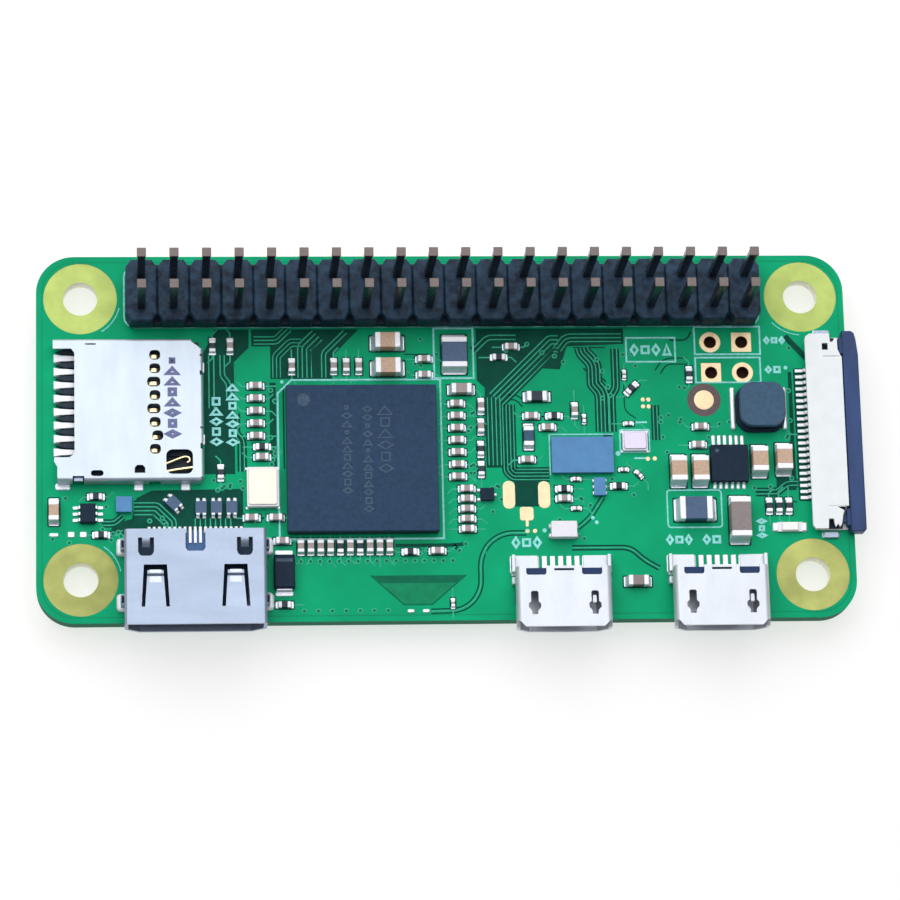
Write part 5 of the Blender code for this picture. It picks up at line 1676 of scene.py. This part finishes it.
def build_camera_housing():
    """Ivory moulding: a roof with cut-outs near its ends, a wall along the leads and a floor."""
    low, high = span("camera_connector_housing")
    half = high.y
    x0, x1 = low.x, high.x
    roof = high.z
    housing = Piece(IVORY)
    roof_outline = [
        (x0 + 0.2, -half), (30.24, -half), (30.28, -7.25), (30.68, -7.25), (30.74, -7.7), (30.84, -7.92),
        (31.0, -7.66), (31.18, -7.92), (31.32, -7.66), (31.45, -6.9), (31.68, -6.25), (x1, -6.2),
        (x1, 6.1),
        (31.84, 6.25), (31.64, 6.75), (31.62, 7.48), (31.48, 7.64), (31.22, 7.36), (31.06, 7.36),
        (31.0, half),
        (x0 + 0.4, half), (x0 + 0.1, half - 0.2), (x0, half - 0.5), (x0, 0.3 - half)]
    window = rectangle(30.38, 30.86, 6.7, 7.26, 0.04, 2)
    groove = rectangle(30.44, 31.74, 6.02, 6.2)
    crease = rectangle(30.34, 31.66, -6.25, -6.17)
    housing.plate(roof_outline, [window, groove, crease], TOP + 0.97, roof)
    housing.box(30.4, 31.78, 5.95, 6.3, TOP + 0.9, roof - 0.1)
    housing.box(30.3, 31.7, -6.35, -6.1, TOP + 0.9, roof - 0.06)
    housing.box(x0 + 0.32, x0 + 0.9, -half + 0.1, half - 0.1, low.z, TOP + 1.0, 0.2)
    housing.box(x0 + 0.5, x1, -half + 0.1, half - 0.1, low.z, TOP + 0.35, edge=0.04)
    for side in (-1, 1):
        housing.box(x0 + 0.5, x1 - 0.12, side * 5.9, side * 6.2, TOP + 0.3, roof - 0.12, edge=0.04)
    housing.done("camera_housing", "housing_ivory", replaces=["camera_connector_housing"], bevel=0.04)


def build_camera_contacts():
    """A dark slab of painted shade on the housing's ivory floor and under its end cut-outs, and the
    contacts that lie on it.
    """
    low, high = span("camera_connector_housing")
    x0, x1 = low.x, high.x
    shade = Piece(SOCKET_AND_SHADE)
    shade.box(x0 + 0.95, 30.6, -5.85, 5.85, TOP + 0.36, TOP + 0.6)
    for side in (-1, 1):
        shade.box(30.15, 31.5, side * 6.5, side * 7.9, TOP + 0.36, TOP + 0.41)
    shade.use(CONTACT)
    for y in evenly(0.0, *CAMERA_CONTACTS):
        shade.box(x0 + 1.0, x1 - 0.4, y - 0.1, y + 0.1, TOP + 0.36, TOP + 0.46)
    shade.done("camera_contacts", "contact_gold")


def build_camera_leads():
    x0 = span("camera_connector_housing")[0].x
    leads = Piece(TINNED)
    for y in evenly(0.0, *CAMERA_CONTACTS):
        section = [(x0 + 0.1, TOP + 0.42), (x0 - 0.05, TOP + 0.4), (x0 - 0.18, TOP + 0.16),
                   (x0 - 0.72, TOP + 0.12), (x0 - 0.72, TOP + 0.02), (x0 - 0.1, TOP + 0.02),
                   (x0 + 0.1, TOP + 0.3)]
        leads.prism(section, y - 0.13, y + 0.13, "y", 0.02)
    leads.done("camera_leads", "shell_tin")
    # A dark patch under the leads: copper cleared round their pads, and painted shade between them
    CLEARANCE_AND_SHADE_PATCHES.append((x0 - 0.35, 0.0, 0.5, 5.5, 0))


def build_camera_latch():
    """Dark bar that slides out of the housing, with an arm at each end and a wedge between."""
    high = span("camera_connector_latch")[1]
    half = high.y
    lx0, lx1 = span("camera_connector_housing")[1].x + 0.1, high.x
    latch = Piece(LATCH)
    bar = [(lx0, -half), (lx1 - 0.2, -half), (lx1, 0.2 - half), (lx1, half - 2.0),
           (lx1 - 0.14, half - 0.7), (lx1 - 0.26, half - 0.2), (lx1 - 0.5, half), (lx0, half)]
    latch.slab(bar, TOP + 0.12, high.z, 0.09, 0.06, 3)
    for side in (-1, 1):
        latch.box(31.0, lx0 + 0.3, side * 6.85, side * 7.5, TOP + 0.42, TOP + 0.9, edge=0.04)
        latch.box(31.76, lx0 + 0.3, side * 6.4, side * 7.8, TOP + 0.42, TOP + 1.1, 0.06, 0.05)
    wedge = [(lx0 + 0.3, TOP + 0.66), (lx0 + 0.3, TOP + 0.9), (30.4, TOP + 0.9), (30.2, TOP + 0.82),
             (30.2, TOP + 0.66)]
    latch.prism(wedge, -5.8, 5.8, "y", 0.05)
    latch.done("camera_latch", "latch_black", "latch", ["camera_connector_latch"])


def build_camera_tabs():
    """Hold-down tabs, one at each end of the housing."""
    for name in ("north", "south"):
        low, high = span("camera_connector_tab_" + name)
        tab = Piece(SHEET_COOL)
        tab.box(low.x, high.x, low.y, high.y, low.z, high.z, 0.06, 0.05, 2)
        tab.use(SOLDER)
        tab.pad(low.x - 0.1, high.x + 0.1, low.y + 0.02, high.y + 0.06, 0.1, 0.15, 0.08, 2)
        tab.done("camera_tab_" + name, "shell_tin", replaces=["camera_connector_tab_" + name])


# ---------------------------------------------------------------------------
# Underside
# ---------------------------------------------------------------------------

def build_underside():
    """Test pads, holes and tracks on the lower face, in a plain layout of their own."""
    pads = Piece(GOLD)
    for x, y in ((-21.5, 2.0), (-18.5, 2.0), (-15.5, 2.0), (-12.0, -8.0), (-9.0, -8.0), (2.0, -9.5),
                 (5.0, -11.0), (8.9, -9.0), (12.0, -9.0), (15.0, -6.0), (18.0, -6.0), (21.0, -9.0),
                 (24.0, -9.0), (10.0, 3.0)):
        pads.turned(x, y, [(0.75, 0.01), (0.75, -0.015), (0.7, -PAD_RISE)], 24)
    pads.done("underside_test_pads", "pin_gold")

    ground = Piece(MASK_DARK)
    lines = (
        ([(-24.0, 8.0), (-24.0, 4.0), (-19.0, -1.0), (-8.0, -1.0)], 5, 0.5, 0.22),
        ([(-7.0, 8.2), (-7.0, 5.0), (-3.0, 1.0), (6.0, 1.0), (9.0, -2.0), (9.0, -7.0)], 6, 0.45, 0.2),
        ([(14.0, 8.2), (14.0, 3.0), (18.0, -1.0), (26.0, -1.0)], 4, 0.5, 0.22),
        ([(-28.0, 5.0), (-28.0, -6.0), (-22.0, -11.5)], 3, 0.6, 0.25),
    )
    for line, count, pitch, _ in lines:
        smooth = rounded_path(line, 1.2, 4)
        ground.ribbon(offset(smooth, pitch * (count - 1) / 2, False), pitch * count + 0.2, 0.01,
                      -GAP_RISE, edge=0.01)
    ground.use(MASK_TRACK)
    for line, count, pitch, width in lines:
        smooth = rounded_path(line, 1.2, 4)
        for i in range(count):
            ground.ribbon(offset(smooth, pitch * i, False), width, 0.01, -TRACK_RISE, edge=0.04)
    for i in range(40):
        x = -26.0 + 1.35 * i
        y = 4.6 * math.sin(1.7 * i) - 3.2
        ground.turned(x, y, [(0.26, 0.01), (0.26, -0.012), (0.2, -0.028)], 12)
    ground.done("underside_tracks", "solder_mask")


build_board()
build_legend()
build_pads()
build_header()
build_processor()
build_small_parts()
build_larger_passives()
build_radio_chip()
build_level_shifter()
build_power_regulator()
build_radio_balun()
build_steering_diode()
build_antenna_filter()
build_line_filters()
build_power_inductor()
build_crystals()
build_diode()
build_status_led()
build_card_power_switch()
build_spare_pads()
build_card_cover()
build_card_base()
build_card_contacts()
build_card_detect()
build_video_shell()
build_video_contact_block()
build_video_leads()
for usb_node, usb_name in (("usb_data", "data_port"), ("usb_power", "power_port")):
    build_usb_shell(usb_node, usb_name)
    build_usb_contact_block(usb_node, usb_name)
    build_usb_leads(usb_node, usb_name)
build_camera_housing()
build_camera_contacts()
build_camera_leads()
build_camera_latch()
build_camera_tabs()
build_copper()
build_underside()


# ---------------------------------------------------------------------------
# Floor, light and camera
# ---------------------------------------------------------------------------

def build_studio():
    """Pale floor under the solder tails, one large soft light above and a camera close to plumb."""
    mesh = bpy.data.meshes.new("floor")
    bm = bmesh.new()
    reach = 1.2
    level = -1.62 * MM
    bm.faces.new([bm.verts.new((x, y, level)) for x, y in block(reach, reach)])
    bm.to_mesh(mesh)
    bm.free()
    PAPER.shader.inputs["Emission Color"].default_value = (1.0, 1.0, 1.0, 1.0)
    PAPER.shader.inputs["Emission Strength"].default_value = 0.64
    mesh.materials.append(PAPER.material)
    floor = bpy.data.objects.new("floor", mesh)
    bpy.context.scene.collection.objects.link(floor)

    world = bpy.data.worlds.new("studio")
    world.use_nodes = True
    nodes, links = world.node_tree.nodes, world.node_tree.links
    nodes["Background"].inputs["Color"].default_value = (0.92, 0.96, 1.0, 1.0)
    bearing = nodes.new("ShaderNodeTexCoord")
    parts = nodes.new("ShaderNodeSeparateXYZ")
    fade = nodes.new("ShaderNodeMapRange")
    for socket, value in (("From Min", -1.0), ("From Max", 1.0), ("To Min", 0.12), ("To Max", 0.6)):
        fade.inputs[socket].default_value = value
    links.new(bearing.outputs["Generated"], parts.inputs["Vector"])
    links.new(parts.outputs["Y"], fade.inputs["Value"])
    links.new(fade.outputs["Result"], nodes["Background"].inputs["Strength"])
    bpy.context.scene.world = world
    bpy.context.scene.view_settings.view_transform = "Standard"

    lamp = bpy.data.lights.new("overhead", "AREA")
    lamp.shape = "DISK"
    lamp.size = 0.56
    lamp.energy = 1.45
    place = Vector((-0.05, 0.14, 0.3))
    thing = bpy.data.objects.new("overhead", lamp)
    thing.location = place
    thing.rotation_euler = (-place).to_track_quat("-Z", "Y").to_euler()
    bpy.context.scene.collection.objects.link(thing)

    camera = bpy.data.cameras.new("camera")
    camera.sensor_width = 36.0
    camera.lens = 168.37
    camera.clip_start = 0.01
    eye = bpy.data.objects.new("camera", camera)
    pitch, roll, heading = -0.2553, 0.0737, 0.0251
    turn = (Matrix.Rotation(pitch, 3, "X") @ Matrix.Rotation(roll, 3, "Y")
            @ Matrix.Rotation(heading, 3, "Z"))
    stance = Vector((-25.684, -85.108, 324.688)) * MM
    eye.matrix_world = Matrix.Translation(stance) @ turn.transposed().to_4x4()
    bpy.context.scene.collection.objects.link(eye)
    bpy.context.scene.camera = eye


build_studio()
